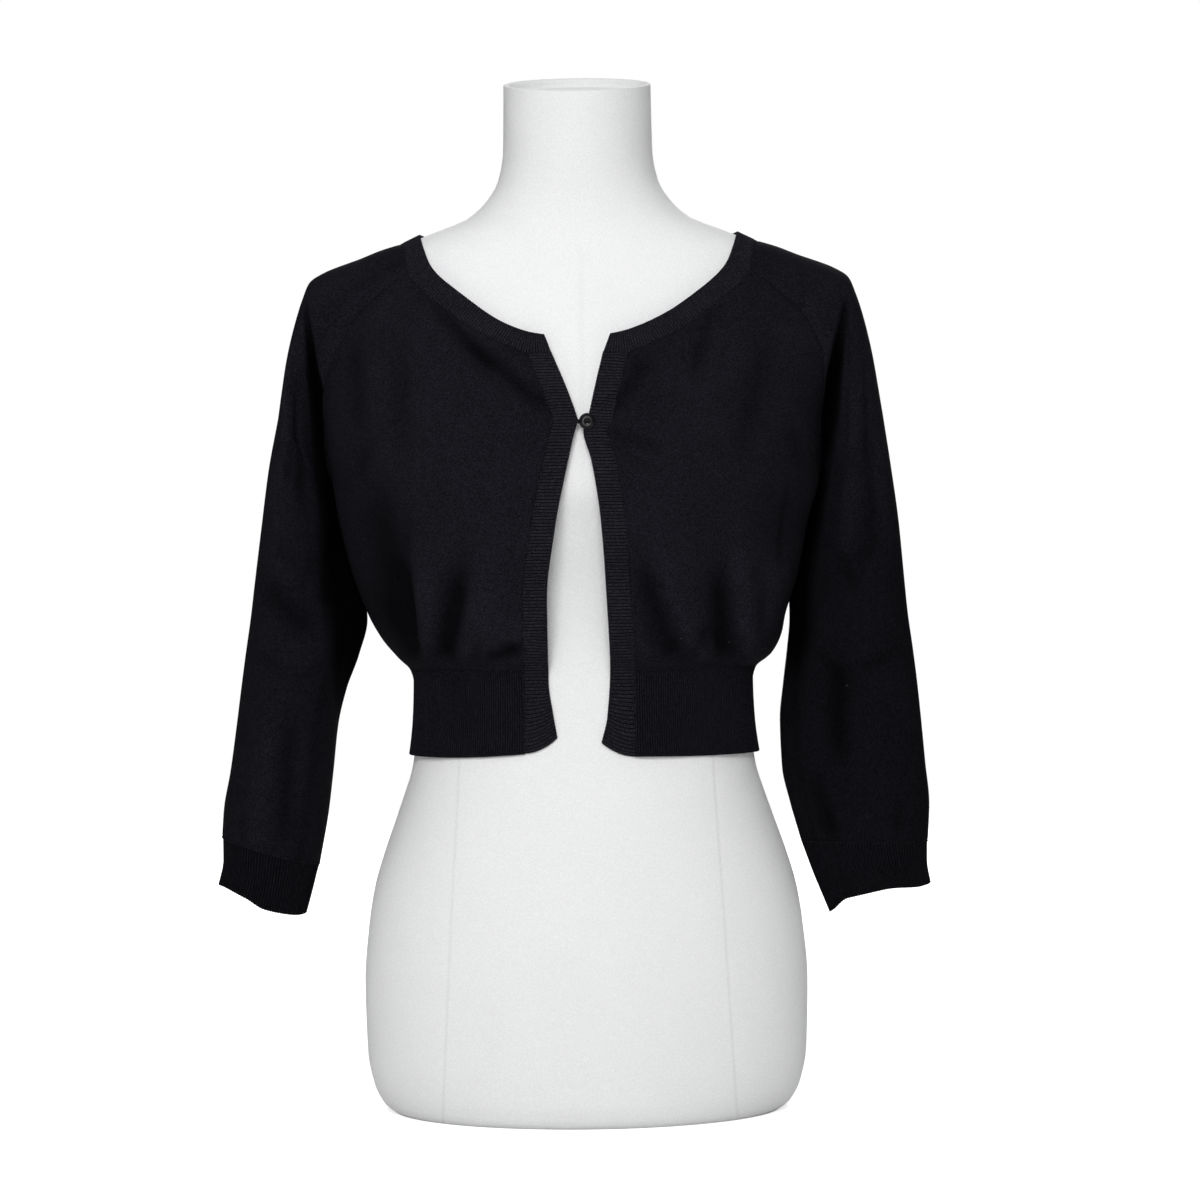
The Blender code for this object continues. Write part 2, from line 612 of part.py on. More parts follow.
def ribbed_wall(name, points, normals, material, group, joined=False):
    """A wall with a rib at every second column outside and few, plain faces inside."""
    relief = np.where(np.arange(points.shape[1]) % 2 == 0, -RIB_SINK, RIB_RAISE)
    raised = points + normals * relief[:, None]
    every = 2 * RIBS_PER_PLAIN_FACE
    plain = (points - normals * CLOTH)[:, ::every]
    form = bmesh.new()
    sheets = []
    for sheet, turned in ((raised, False), (plain, True)):
        corners = [[form.verts.new(p) for p in row] for row in sheet]
        if joined:
            for row in corners:
                form.verts.remove(row[-1])
                row[-1] = row[0]
        for low, high in zip(corners, corners[1:]):
            for j in range(len(low) - 1):
                face = (low[j], high[j], high[j + 1], low[j + 1])
                form.faces.new(face[::-1] if turned else face)
        sheets.append(corners)
    outside, inside = sheets
    for outer_row, inner_row in ((outside[0], inside[0]), (outside[-1], inside[-1])):
        for j in range(len(inner_row) - 1):
            ribs = outer_row[j * every : (j + 1) * every + 1]
            form.faces.new((*ribs, inner_row[j + 1], inner_row[j]))
    if not joined:
        for end in (0, -1):
            outer_end = [row[end] for row in outside]
            inner_end = [row[end] for row in inside]
            form.faces.new((*outer_end, *inner_end[::-1]))
    return add_object(name, form, material, group)


def evenly(points, normals, spacing):
    """The same line in equal steps, two to each rib of about this spacing."""
    lengths = np.linalg.norm(np.diff(points, axis=0), axis=1)
    along = np.concatenate([[0], np.cumsum(lengths)])
    count = rib_columns(along[-1], spacing)
    at = np.linspace(0, along[-1], count + 1)
    line = np.stack([np.interp(at, along, points[:, k]) for k in range(3)], axis=-1)
    facing = np.stack([np.interp(at, along, normals[:, k]) for k in range(3)], axis=-1)
    return line, unit(facing)


def make_panel(name, points, gaps, material, group):
    normals = normals_of(points, from_axis)
    outer = pulled_in(points, gaps)
    cloth_wall(name, outer, outer - normals * CLOTH, material, group)


def make_sleeve(name, side, fronts, back, material, group):
    front_points, front_normals = fronts
    back_points, back_normals = back
    back_edge = 0 if side > 0 else -1
    top = slice(SIDE_ROWS + 1, None)
    points = sleeve_points(
        side,
        front_points[top, 0][::-1],
        back_points[top, back_edge][::-1],
        front_normals[top, 0][::-1],
        back_normals[top, back_edge][::-1],
    )
    creases = SLEEVE_CREASES_LEFT if side > 0 else SLEEVE_CREASES_RIGHT
    points = crease_sleeve(points, sleeve_normals(points, side), creases)
    points[RAGLAN_ROWS, [0, -1]] += [side * UNDERARM_EASE, 0, 0]
    normals = sleeve_normals(points, side)
    half = SEAM_GAP / 2
    outer = pulled_in(points, (half, half, half, half), wrap_from=RAGLAN_ROWS)
    for i in range(RAGLAN_ROWS):
        for column, beside in ((0, front_normals), (-1, back_normals)):
            if column == 0:
                other = beside[top, 0][::-1][i]
            else:
                other = beside[top, back_edge][::-1][i]
            if normals[i, column] @ other > 0.5:
                normals[i, column] = unit(normals[i, column] + other)
    inner = outer - normals * CLOTH
    cloth_wall(name, outer, inner, material, group, joined_rows=RAGLAN_ROWS)
    return points, normals


def make_cuff(name, side, material, group):
    table = CUFF_LEFT if side > 0 else CUFF_RIGHT
    rounds = [tube_ring(sizes[1:], side, CUFF_SAMPLES) for sizes in np.array(table)]
    lengths = np.linalg.norm(np.diff(rounds[0], axis=0), axis=1)
    along = np.concatenate([[0], np.cumsum(lengths)])
    count = rib_columns(along[-1], CUFF_RIB)
    picks = np.searchsorted(along, np.linspace(0, along[-1], count + 1) - 1e-9)
    points = np.array([line[picks] for line in rounds])
    normals = normals_of(points, lambda point: np.array([side, 0.0, 0.0]), wrap=True)
    ribbed_wall(name, points, normals, material, group, joined=True)


def make_front_band(name, side, material, group):
    count = rib_columns(NECKLINE_FRONT_CORNER - BAND_FOOT, BAND_RIB)
    heights = np.linspace(BAND_FOOT, NECKLINE_FRONT_CORNER - SEAM_GAP, count + 1)
    seam = band_seam(side, heights) - side * BAND_GAP
    across = np.stack([free_edge(side, heights), seam])
    tall = np.stack([heights, heights])
    points = body(angle_at(across, tall), tall)
    normals = normals_of(points, from_axis)
    ribbed_wall(name, points, normals, material, group)
    return points, normals


def make_waistband(material, group):
    count = rib_columns(WAISTBAND_LENGTH, WAISTBAND_RIB)
    share = np.linspace(0, 1, count + 1)
    rows = []
    for height in (WAIST_SEAM - SEAM_GAP, WAISTBAND_NARROWEST, HEM):
        start = angle_at(band_seam(1, height), np.array(height))
        end = 2 * math.pi + angle_at(band_seam(-1, height), np.array(height))
        angles = start + (end - start) * share
        near_front = np.maximum(np.cos(angles), 0) ** 8
        rise = HEM_RISE_AT_FRONT * near_front if height == HEM else 0.0
        rows.append(body(angles, height + rise))
    points = np.array(rows)
    normals = normals_of(points, from_axis)
    ribbed_wall("waistband", points, normals, material, group)


def make_neckband(right, sleeve_right, back, sleeve_left, left, bands, material, group):
    """A strip sewn along the whole neckline, from one front's free edge to the other's."""
    line, facing = [], []
    (right_band, right_band_normals), (left_band, left_band_normals) = bands
    pieces = (
        (right_band[:, -1], right_band_normals[:, -1]),
        (right[0][-1][::-1], right[1][-1][::-1]),
        (sleeve_right[0][0], sleeve_right[1][0]),
        (back[0][-1][::-1], back[1][-1][::-1]),
        (sleeve_left[0][0][::-1], sleeve_left[1][0][::-1]),
        (left[0][-1], left[1][-1]),
        (left_band[::-1, -1], left_band_normals[::-1, -1]),
    )
    for k, (points, normals) in enumerate(pieces):
        if k:
            points, normals = points[1:], normals[1:]
        line.append(points)
        facing.append(normals)
    line, facing = np.concatenate(line), np.concatenate(facing)
    kept = np.concatenate([[True], np.linalg.norm(np.diff(line, axis=0), axis=1) > 1e-3])
    line, facing = evenly(line[kept], facing[kept], NECKBAND_RIB)
    for _ in range(12):
        facing[1:-1] = unit(facing[:-2] + 2 * facing[1:-1] + facing[2:])
    along = unit(np.gradient(line, axis=0))
    for _ in range(6):
        along[1:-1] = unit(along[:-2] + 2 * along[1:-1] + along[2:])
    across = unit(np.cross(along, facing))
    if across[len(across) // 2][2] < 0:
        across = -across
    seam = line + across * SEAM_GAP
    edge = clear_of_form(line + across * NECKBAND_WIDTH, CLOTH + FORM_GAP)
    points = np.stack([seam, edge], axis=0)
    normals = np.stack([facing, facing], axis=0)
    ribbed_wall("neckband", points, normals, material, group)


def clear_of_form(points, gap):
    """The same points, moved level outwards where they are nearer the form than this."""
    moved = points.copy()
    sizes = smooth(FORM_SECTIONS, points[..., 2])
    depth = np.where(points[..., 1] < 0, sizes[..., 1], sizes[..., 2]) + gap
    reach = np.hypot(points[..., 0] / (sizes[..., 0] + gap), points[..., 1] / depth)
    moved[..., :2] /= np.minimum(reach, 1)[..., None]
    return moved


def make_form(material, group):
    angles = np.linspace(0, 2 * math.pi, FORM_COLUMNS, endpoint=False)
    form = bmesh.new()
    rows = []
    last = FORM_SECTIONS[-1]

    def round_of(height, drop=0.0, inset=0.0):
        points = ring(FORM_SECTIONS, angles, np.full_like(angles, height))
        points[:, :2] *= 1 - inset / last[1]
        tilt = NECK_TILT * ramp(np.array((height - NECK_TILT_FROM) / (last[0] - NECK_TILT_FROM)))
        points[:, 2] += tilt * points[:, 1] - drop
        return [form.verts.new(p) for p in points]

    for section in FORM_SECTIONS:
        rows.append(round_of(section[0]))
    rows.append(round_of(last[0], inset=NECK_RIM))
    rows.append(round_of(last[0], drop=NECK_DISH, inset=NECK_RIM * 1.5))
    for low, high in zip(rows, rows[1:]):
        for j in range(FORM_COLUMNS):
            k = (j + 1) % FORM_COLUMNS
            form.faces.new((low[j], low[k], high[k], high[j]))
    form.faces.new(rows[0][::-1])
    form.faces.new(rows[-1])
    add_object("dress_form", form, material, group)


def surface_frame(x, height):
    """The point of the cloth there and the turn that lays +Z along its normal, +Y up."""
    angle = angle_at(np.array(x), np.array(height))
    step = 1e-3
    here = body(angle, np.array(height))
    up = body(angle, np.array(height + step)) - body(angle, np.array(height - step))
    round_it = body(angle + step, np.array(height)) - body(angle - step, np.array(height))
    outward = Vector(np.cross(round_it, up)).normalized()
    right = Vector((0, 0, 1)).cross(outward).normalized()
    turn = Matrix((right, outward.cross(right), outward)).transposed()
    return Vector(here), turn


def make_button(material, group, cutters):
    here, turn = surface_frame(*BUTTON_AT)
    place = Matrix.Translation(here) @ turn.to_4x4()
    low = BUTTON_LIFT
    high = BUTTON_LIFT + BUTTON_THICKNESS
    shank_start = RIB_RAISE + 0.0003
    # outer side first, top to bottom, then the shank
    profile = (
        (0.0, high - BUTTON_DISH),
        (BUTTON_RADIUS - BUTTON_RIM - 0.0008, high - BUTTON_DISH),
        (BUTTON_RADIUS - BUTTON_RIM, high),
        (BUTTON_RADIUS - 0.0003, high),
        (BUTTON_RADIUS, high - 0.0004),
        (BUTTON_RADIUS, low + 0.0005),
        (BUTTON_RADIUS - 0.0008, low),
        (SHANK_RADIUS, low),
        (SHANK_RADIUS, shank_start),
        (0.0, shank_start),
    )
    mesh = bpy.data.meshes.new("button")
    points = [(r, 0.0, z) for r, z in profile]
    mesh.from_pydata(points, [(i, i + 1) for i in range(len(points) - 1)], [])
    mesh.materials.append(material)
    button = bpy.data.objects.new("button", mesh)
    group.objects.link(button)
    button.matrix_world = place
    turned = button.modifiers.new("turned", "SCREW")
    turned.steps = 16
    turned.render_steps = 16
    turned.use_merge_vertices = True
    turned.merge_threshold = 1e-5
    turned.use_smooth_shade = False
    for k in range(4):
        angle = math.pi / 4 + k * math.pi / 2
        bpy.ops.mesh.primitive_cylinder_add(vertices=8, radius=BUTTON_HOLE, depth=HOLE_CUTTER)
        hole = bpy.context.object
        hole.name = f"button_hole_{k + 1}"
        offset = Matrix.Translation(
            (
                BUTTON_HOLE_RING * math.cos(angle),
                BUTTON_HOLE_RING * math.sin(angle),
                high - BUTTON_DISH - HOLE_DEPTH + HOLE_CUTTER / 2,
            )
        )
        hole.matrix_world = place @ offset
        hole.hide_render = True
        hole.display_type = "WIRE"
        for owner in hole.users_collection:
            owner.objects.unlink(hole)
        cutters.objects.link(hole)
        cut = button.modifiers.new(hole.name, "BOOLEAN")
        cut.object = hole


def make_loop(material, group):
    """A thin cord from the right band's edge, round the button's shank and back."""
    here, turn = surface_frame(*BUTTON_AT)
    place = Matrix.Translation(here) @ turn.to_4x4()
    edge_x, _ = surface_frame(float(free_edge(-1, np.array(BUTTON_AT[1]))), BUTTON_AT[1])
    start = (place.inverted() @ edge_x).x + LOOP_RADIUS
    height = RIB_RAISE + LOOP_RADIUS + 0.0004
    spread = LOOP_EYE
    route = [(start, spread * 0.9, height), (start * 0.6, spread, height)]
    for k in range(9):
        angle = math.pi / 2 - k * math.pi / 8
        route.append((LOOP_EYE * math.cos(angle), LOOP_EYE * math.sin(angle), height))
    route += [(start * 0.6, -spread, height), (start, -spread * 0.9, height)]
    data = bpy.data.curves.new("button_loop", "CURVE")
    data.dimensions = "3D"
    data.bevel_depth = LOOP_RADIUS
    data.bevel_resolution = 2
    data.use_fill_caps = True
    spline = data.splines.new("POLY")
    spline.points.add(len(route) - 1)
    for point, place_at in zip(spline.points, route):
        point.co = (*place_at, 1)
    data.materials.append(material)
    loop = bpy.data.objects.new("button_loop", data)
    loop.matrix_world = place
    group.objects.link(loop)


def main():
    for old in list(bpy.data.objects):
        bpy.data.objects.remove(old, do_unlink=True)
    group = bpy.data.collections.new("cardigan_on_dress_form")
    cutters = bpy.data.collections.new("cutters")
    for collection in (group, cutters):
        bpy.context.scene.collection.children.link(collection)

    knit = add_material("black_knit", (0.012, 0.012, 0.014), 0.9)
    ribbing = add_material("black_ribbing", (0.010, 0.010, 0.012), 0.85)
    cover = add_material("form_cover", (0.80, 0.80, 0.80), 0.8)
    gloss = add_material("button_black", (0.010, 0.010, 0.011), 0.25)

    make_form(cover, group)

    fronts = {}
    for side, name in ((-1, "front_right"), (1, "front_left")):
        chart = front_chart(side)
        points = body(chart[..., 0], chart[..., 1])
        fronts[side] = (points, normals_of(points, from_axis))
        half = SEAM_GAP / 2
        make_panel(name, points, (half, half, half, half), knit, group)
    chart = back_chart()
    points = body(chart[..., 0], chart[..., 1])
    back = (points, normals_of(points, from_axis))
    make_panel("back", points, (half, half, half, half), knit, group)

    sleeves = {
        -1: make_sleeve("sleeve_right", -1, fronts[-1], back, knit, group),
        1: make_sleeve("sleeve_left", 1, fronts[1], back, knit, group),
    }
    make_cuff("cuff_right", -1, ribbing, group)
    make_cuff("cuff_left", 1, ribbing, group)
    bands = (
        make_front_band("front_band_right", -1, ribbing, group),
        make_front_band("front_band_left", 1, ribbing, group),
    )
    make_waistband(ribbing, group)
    make_neckband(fronts[-1], sleeves[-1], back, sleeves[1], fronts[1], bands, ribbing, group)
    make_button(gloss, group, cutters)
    make_loop(ribbing, group)


main()
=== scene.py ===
# %% [markdown]
# # A cropped black cardigan on a white dress form
#
# The real thing is a fine-gauge knitted cardigan: two fronts, a back and two raglan sleeves
# of plain knitting, edged with ribbing at the neck, the fronts, the waist and the cuffs. One
# small button and a cord loop hold it shut. It is worn by a dress form with a white cover.
#
# The solid model already has every piece at its true size. This lesson puts fine cloth over
# those solids, so the first step loads them and hangs them on their bodies.

# %% Load the frame
import json
import math

import bpy
import numpy as np
from mathutils import Matrix, Vector

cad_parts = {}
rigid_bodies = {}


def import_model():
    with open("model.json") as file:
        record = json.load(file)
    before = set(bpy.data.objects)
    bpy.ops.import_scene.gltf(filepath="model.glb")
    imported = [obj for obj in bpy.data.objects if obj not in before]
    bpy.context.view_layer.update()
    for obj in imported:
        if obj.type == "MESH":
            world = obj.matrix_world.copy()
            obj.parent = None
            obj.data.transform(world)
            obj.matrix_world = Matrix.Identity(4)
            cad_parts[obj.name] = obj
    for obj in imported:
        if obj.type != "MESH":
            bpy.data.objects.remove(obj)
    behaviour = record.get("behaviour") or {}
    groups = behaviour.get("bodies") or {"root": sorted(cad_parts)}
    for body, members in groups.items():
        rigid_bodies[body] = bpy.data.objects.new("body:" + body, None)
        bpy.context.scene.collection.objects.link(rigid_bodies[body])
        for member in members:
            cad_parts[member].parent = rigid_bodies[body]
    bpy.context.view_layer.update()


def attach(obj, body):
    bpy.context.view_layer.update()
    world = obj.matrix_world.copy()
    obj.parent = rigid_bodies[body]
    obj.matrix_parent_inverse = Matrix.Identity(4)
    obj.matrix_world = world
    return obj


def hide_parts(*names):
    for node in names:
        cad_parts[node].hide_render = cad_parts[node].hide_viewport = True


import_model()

# %% [markdown]
# ## The camera
#
# The photograph looks straight at the front from a little under bust height, and it leans by
# half a degree. A camera is an object whose matrix holds its right, up and backward
# directions as columns, so the lean goes straight into those three vectors. The lens follows
# from how wide a strip of the world the picture shows at the form's distance.

# %% Place the camera
VIEW_DISTANCE = 2.25
VIEW_HALF_WIDTH = 0.462
VIEW_CENTRE = (0.0135, 0.39)
VIEW_LEAN = 0.0107
SENSOR_MM = 36.0


def add_object(name, data):
    """A new object in the scene that shows this mesh, curve, light or camera."""
    made = bpy.data.objects.new(name, data)
    bpy.context.scene.collection.objects.link(made)
    return made


camera_data = bpy.data.cameras.new("camera")
camera_data.sensor_width = SENSOR_MM
camera_data.lens = SENSOR_MM / 2 * VIEW_DISTANCE / VIEW_HALF_WIDTH
camera = add_object("camera", camera_data)
camera_right = Vector((math.cos(VIEW_LEAN), 0, -math.sin(VIEW_LEAN)))
camera_up = Vector((math.sin(VIEW_LEAN), 0, math.cos(VIEW_LEAN)))
camera_turn = Matrix((camera_right, camera_up, (0, -1, 0))).transposed()
camera_place = Matrix.Translation((VIEW_CENTRE[0], -VIEW_DISTANCE, VIEW_CENTRE[1]))
camera.matrix_world = camera_place @ camera_turn.to_4x4()
bpy.context.scene.camera = camera
print("lens:", round(camera_data.lens, 2), "mm")

# %% [markdown]
# ## Light
#
# Black knitting and a white cover need light that is wide and soft: a big panel above and
# one before the form, weak ones at the sides, and one behind for the back. The sky is white
# where the camera sees it and dimmer where it lights the cloth, so the sides stay darker
# than the front, as they do in the picture. Its shader is a small tree of nodes, which the
# helper below places, sets and links in one go.

# %% Light the set
CHEST = (0.0, 0.0, 0.45)
# name, place, what it faces, size, power
PANEL_LIGHTS = (
    ("key_light", (-0.3, -2.75, 1.65), CHEST, (1.5, 1.2), 64.0),
    ("top_light", (0.0, -0.3, 3.4), (0.0, 0.0, 0.0), (5.0, 5.0), 56.0),
    ("left_light", (2.4, -0.9, 1.0), CHEST, (1.2, 1.6), 1.5),
    ("right_light", (-2.4, -0.9, 1.0), CHEST, (1.2, 1.6), 1.5),
    ("back_light", (0.3, 2.6, 1.7), CHEST, (1.8, 1.4), 48.0),
)
SKY_SEEN = 1.0
SKY_LIGHT = 0.08
WHITE = (1, 1, 1, 1)


def add_node(tree, kind, settings=None, **values):
    """A node with these settings, and with its sockets linked or set by their names."""
    node = tree.nodes.new(kind)
    for label, value in (settings or {}).items():
        setattr(node, label, value)
    for label, value in values.items():
        socket = node.inputs[label.replace("_", " ")]
        if isinstance(value, bpy.types.NodeSocket):
            tree.links.new(value, socket)
        else:
            socket.default_value = value
    return node


for name, place, target, size, power in PANEL_LIGHTS:
    panel = bpy.data.lights.new(name, "AREA")
    panel.shape = "RECTANGLE"
    panel.size, panel.size_y = size
    panel.energy = power
    light = add_object(name, panel)
    light.location = place
    light.rotation_euler = (Vector(target) - Vector(place)).to_track_quat("-Z", "Y").to_euler()
    light.visible_camera = False

world = bpy.data.worlds.new("sky")
bpy.context.scene.world = world
world.use_nodes = True
sky = world.node_tree
sky.nodes.clear()
sky_mix = add_node(sky, "ShaderNodeMixShader")
sky_rays = add_node(sky, "ShaderNodeLightPath")
sky.links.new(sky_rays.outputs["Is Camera Ray"], sky_mix.inputs[0])
for socket, strength in ((1, SKY_LIGHT), (2, SKY_SEEN)):
    background = add_node(sky, "ShaderNodeBackground", Color=WHITE, Strength=strength)
    sky.links.new(background.outputs[0], sky_mix.inputs[socket])
add_node(sky, "ShaderNodeOutputWorld", Surface=sky_mix.outputs[0])
bpy.context.scene.view_settings.view_transform = "Standard"
print("lights:", len(PANEL_LIGHTS))

# %% [markdown]
# ## Shader groups that several finishes share
#
# An effect that more than one material needs is a node group with named inputs. Here they
# are the stitch pattern of plain knitting, the cloudy shade of yarn, and lint. Small helpers
# turn a formula into Math nodes, so that each group reads like the formula it holds.

# %% Helpers for node groups
def new_tree(kind, name, inputs, outputs):
    """A node group with sockets of these names and types, and its two ends' sockets."""
    tree = bpy.data.node_groups.new(name, kind)
    for way, sockets in (("INPUT", inputs), ("OUTPUT", outputs)):
        for label, socket in sockets.items():
            tree.interface.new_socket(label, in_out=way, socket_type="NodeSocket" + socket)
    given = add_node(tree, "NodeGroupInput").outputs
    return tree, given, add_node(tree, "NodeGroupOutput").inputs


def calc(tree, operation, *values):
    """One Math node's result; each value is a number or another node's socket."""
    node = add_node(tree, "ShaderNodeMath", {"operation": operation})
    for socket, value in zip(node.inputs, values):
        if isinstance(value, (int, float)):
            socket.default_value = value
        else:
            tree.links.new(value, socket)
    return node.outputs[0]


def eased(tree, value, low, high):
    """A smooth step of the value, from 0 at low to 1 at high."""
    limits = {"Value": value, "From Min": low, "From Max": high}
    node = add_node(tree, "ShaderNodeMapRange", {"interpolation_type": "SMOOTHSTEP"}, **limits)
    return node.outputs["Result"]


def blended(tree, share, first, second):
    """A colour between two others."""
    node = add_node(tree, "ShaderNodeMix", {"data_type": "RGBA"}, Factor=share, A=first, B=second)
    return node.outputs["Result"]


def scaled(tree, vector, scale):
    """A vector or colour times a number."""
    node = add_node(tree, "ShaderNodeVectorMath", {"operation": "SCALE"}, Vector=vector, Scale=scale)
    return node.outputs[0]


def noise(tree, place, scale, detail, roughness=0.5):
    """A cloudy texture's value, with so many clouds to the metre."""
    node = add_node(
        tree, "ShaderNodeTexNoise", Vector=place, Scale=scale, Detail=detail, Roughness=roughness
    )
    return node.outputs["Fac"]


print("helpers for node groups are ready")

# %% [markdown]
# Plain knitting is columns of V shapes. Across one column, the distance from its middle
# gives the two legs of the V. Along the column, that same distance is added to the height
# before it is cut into courses, and that is what slants the legs. The pattern reads the
# piece's own UV map, which holds metres, so it follows each panel's grain.

# %% Build the stitch group
LEG_PLACE = 0.25
LEG_SLANT = 1.7
ROUND_LEG = 0.9
ROUND_LOOP = 0.8


def build_stitches():
    tree, given, made = new_tree(
        "ShaderNodeTree",
        "knit_stitches",
        {"Place": "Vector", "Column Width": "Float", "Course Height": "Float"},
        {"Height": "Float"},
    )
    place = add_node(tree, "ShaderNodeSeparateXYZ", Vector=given["Place"]).outputs
    column = calc(tree, "DIVIDE", place["X"], given["Column Width"])
    course = calc(tree, "DIVIDE", place["Y"], given["Course Height"])
    aside = calc(tree, "ABSOLUTE", calc(tree, "SUBTRACT", calc(tree, "FRACT", column), 0.5))
    from_leg = calc(tree, "ABSOLUTE", calc(tree, "SUBTRACT", aside, LEG_PLACE))
    leg = calc(tree, "SUBTRACT", 1.0, calc(tree, "DIVIDE", from_leg, LEG_PLACE))
    slanted = calc(tree, "MULTIPLY_ADD", aside, LEG_SLANT, course)
    along = calc(tree, "ABSOLUTE", calc(tree, "SUBTRACT", calc(tree, "FRACT", slanted), 0.5))
    loop = calc(tree, "SUBTRACT", 1.0, calc(tree, "MULTIPLY", along, 2.0))
    body_of_yarn = calc(tree, "MULTIPLY_ADD", eased(tree, loop, 0.0, ROUND_LOOP), 0.5, 0.5)
    height = calc(tree, "MULTIPLY", eased(tree, leg, 0.0, ROUND_LEG), body_of_yarn)
    tree.links.new(height, made["Height"])
    return tree


STITCHES = build_stitches()
print(STITCHES.name, len(STITCHES.nodes), "nodes")

# %% [markdown]
# Yarn is never one flat tone: it is painted darker between the stitches, a painted shade where
# the loops part, cloudy over a few centimetres where the cloth has been worn and washed, and
# grainy from its fibres. Lint is rarer still, a few pale specks that the black cloth has
# picked up. A Voronoi texture cuts space into cells, and a random few of them show a speck
# round their middle.

# %% Build the yarn and lint groups
CLOUDS_A_METRE = 26.0
FIBRES_A_METRE = 1100.0
STITCH_TONE = 0.42
CLOUD_TONE = 0.08
CLOUD_EASE = (0.30, 0.70)
GRAIN_TONE = 0.60
GRAIN_EASE = (0.41, 0.63)
SPECKS_A_METRE = 110.0
SPECK_SIZE = 0.045


def build_yarn():
    tree, given, made = new_tree(
        "ShaderNodeTree",
        "yarn_tone",
        {"Position": "Vector", "Stitch": "Float", "Dark": "Color", "Light": "Color", "Shade": "Float"},
        {"Color": "Color", "Grain": "Float"},
    )
    clouds = noise(tree, given["Position"], CLOUDS_A_METRE, 4.0)
    fibres = noise(tree, given["Position"], FIBRES_A_METRE, 1.0, 0.8)
    # painted shade between the loops: where the stitches lie low, the colour is darker
    tone = calc(tree, "MULTIPLY", given["Stitch"], STITCH_TONE)
    tone = calc(tree, "MULTIPLY_ADD", eased(tree, clouds, *CLOUD_EASE), CLOUD_TONE, tone)
    tone = calc(tree, "MULTIPLY_ADD", eased(tree, fibres, *GRAIN_EASE), GRAIN_TONE, tone)
    # the colour, times the painted shade that the finish gives for the place
    shade = scaled(tree, blended(tree, tone, given["Dark"], given["Light"]), given["Shade"])
    tree.links.new(shade, made["Color"])
    tree.links.new(fibres, made["Grain"])
    return tree


def build_lint():
    sockets = {"Position": "Vector", "Share": "Float"}
    tree, given, made = new_tree("ShaderNodeTree", "lint", sockets, {"Mask": "Float"})
    cells = add_node(tree, "ShaderNodeTexVoronoi", Vector=given["Position"], Scale=SPECKS_A_METRE)
    near = calc(tree, "LESS_THAN", cells.outputs["Distance"], SPECK_SIZE)
    pick = add_node(tree, "ShaderNodeSeparateColor", Color=cells.outputs["Color"])
    chosen = calc(tree, "LESS_THAN", pick.outputs["Red"], given["Share"])
    tree.links.new(calc(tree, "MULTIPLY", near, chosen), made["Mask"])
    return tree


YARN = build_yarn()
LINT = build_lint()
print("shader groups:", [group.name for group in bpy.data.node_groups])

# %% [markdown]
# ## The finishes
#
# Each finish is one material with its own Principled BSDF. The knitting is matte and almost
# black with a trace of blue. Its shader keeps only a weak gloss, because at this darkness
# even an ordinary gloss would turn it grey. The stitches go to a Bump node in real metres.
# Two things paint shade into its colour by place. The pieces bring an attribute of painted
# shade, which is high in deep folds that see little of the room, on the lower sleeves and on
# the cuffs, and below zero, a painted light, on the ridges of creases. And the valleys between
# ribs are painted darker, as they hold less light.

# %% Make the cloth finishes
COLUMN_WIDTH = 0.0013
COURSE_HEIGHT = 0.00095
NECK_RIB = 0.0023
BAND_RIB = 0.0025
WAIST_RIB = 0.0019
CUFF_RIB = 0.0022
KNIT_DARK = (0.0010, 0.0010, 0.0018, 1)
KNIT_LIGHT = (0.0165, 0.0158, 0.0215, 1)
RIB_DARK = (0.0012, 0.0012, 0.0020, 1)
RIB_LIGHT = (0.0270, 0.0260, 0.0330, 1)
STRETCHED_LIGHT = (0.0155, 0.0150, 0.0205, 1)
# the linking yarn is painted paler than the knitting: a painted sheen on the raised seams
LINK_LIGHT = (0.0260, 0.0250, 0.0310, 1)
LINT_TONE = (0.08, 0.08, 0.085, 1)
# how strongly painted shade darkens the knitting's colour, and the least of it that is kept
PAINTED_SHADE_STRENGTH = 0.75
DARKEST = 0.02
VALLEY_LIGHT = 0.25
VALLEY_EASE = (0.15, 0.8)
FIBRE_RELIEF = 0.35
KNIT_RELIEF = 0.00022
RIB_RELIEF = 0.00018
LINK_RELIEF = 0.00008
LINK_TWIST = 0.0008
KNIT_LINT = 0.10
RIB_LINT = 0.03
KNIT_ROUGHNESS = 0.95
KNIT_GLOSS = 0.03
KNIT_BUMP = 0.8


def new_material(name, roughness, gloss=0.5):
    material = bpy.data.materials.new(name)
    material.use_nodes = True
    shader = material.node_tree.nodes["Principled BSDF"]
    shader.inputs["Roughness"].default_value = roughness
    shader.inputs["Specular IOR Level"].default_value = gloss
    return material, material.node_tree, shader


def use_stitches(tree, column, course):
    """The height of the stitches, and the place in the piece's own space."""
    place = add_node(tree, "ShaderNodeTexCoord").outputs
    sizes = {"Column Width": column, "Course Height": course}
    stitches = add_node(tree, "ShaderNodeGroup", {"node_tree": STITCHES}, Place=place["UV"], **sizes)
    return stitches.outputs["Height"], place["Object"], place["UV"]


def use_yarn(tree, **values):
    return add_node(tree, "ShaderNodeGroup", {"node_tree": YARN}, **values).outputs


def finish_shader(tree, shader, color, height, relief, strength):
    """The colour and the bump, linked to the shader."""
    bump = add_node(tree, "ShaderNodeBump", Height=height, Distance=relief, Strength=strength)
    tree.links.new(color, shader.inputs["Base Color"])
    tree.links.new(bump.outputs["Normal"], shader.inputs["Normal"])


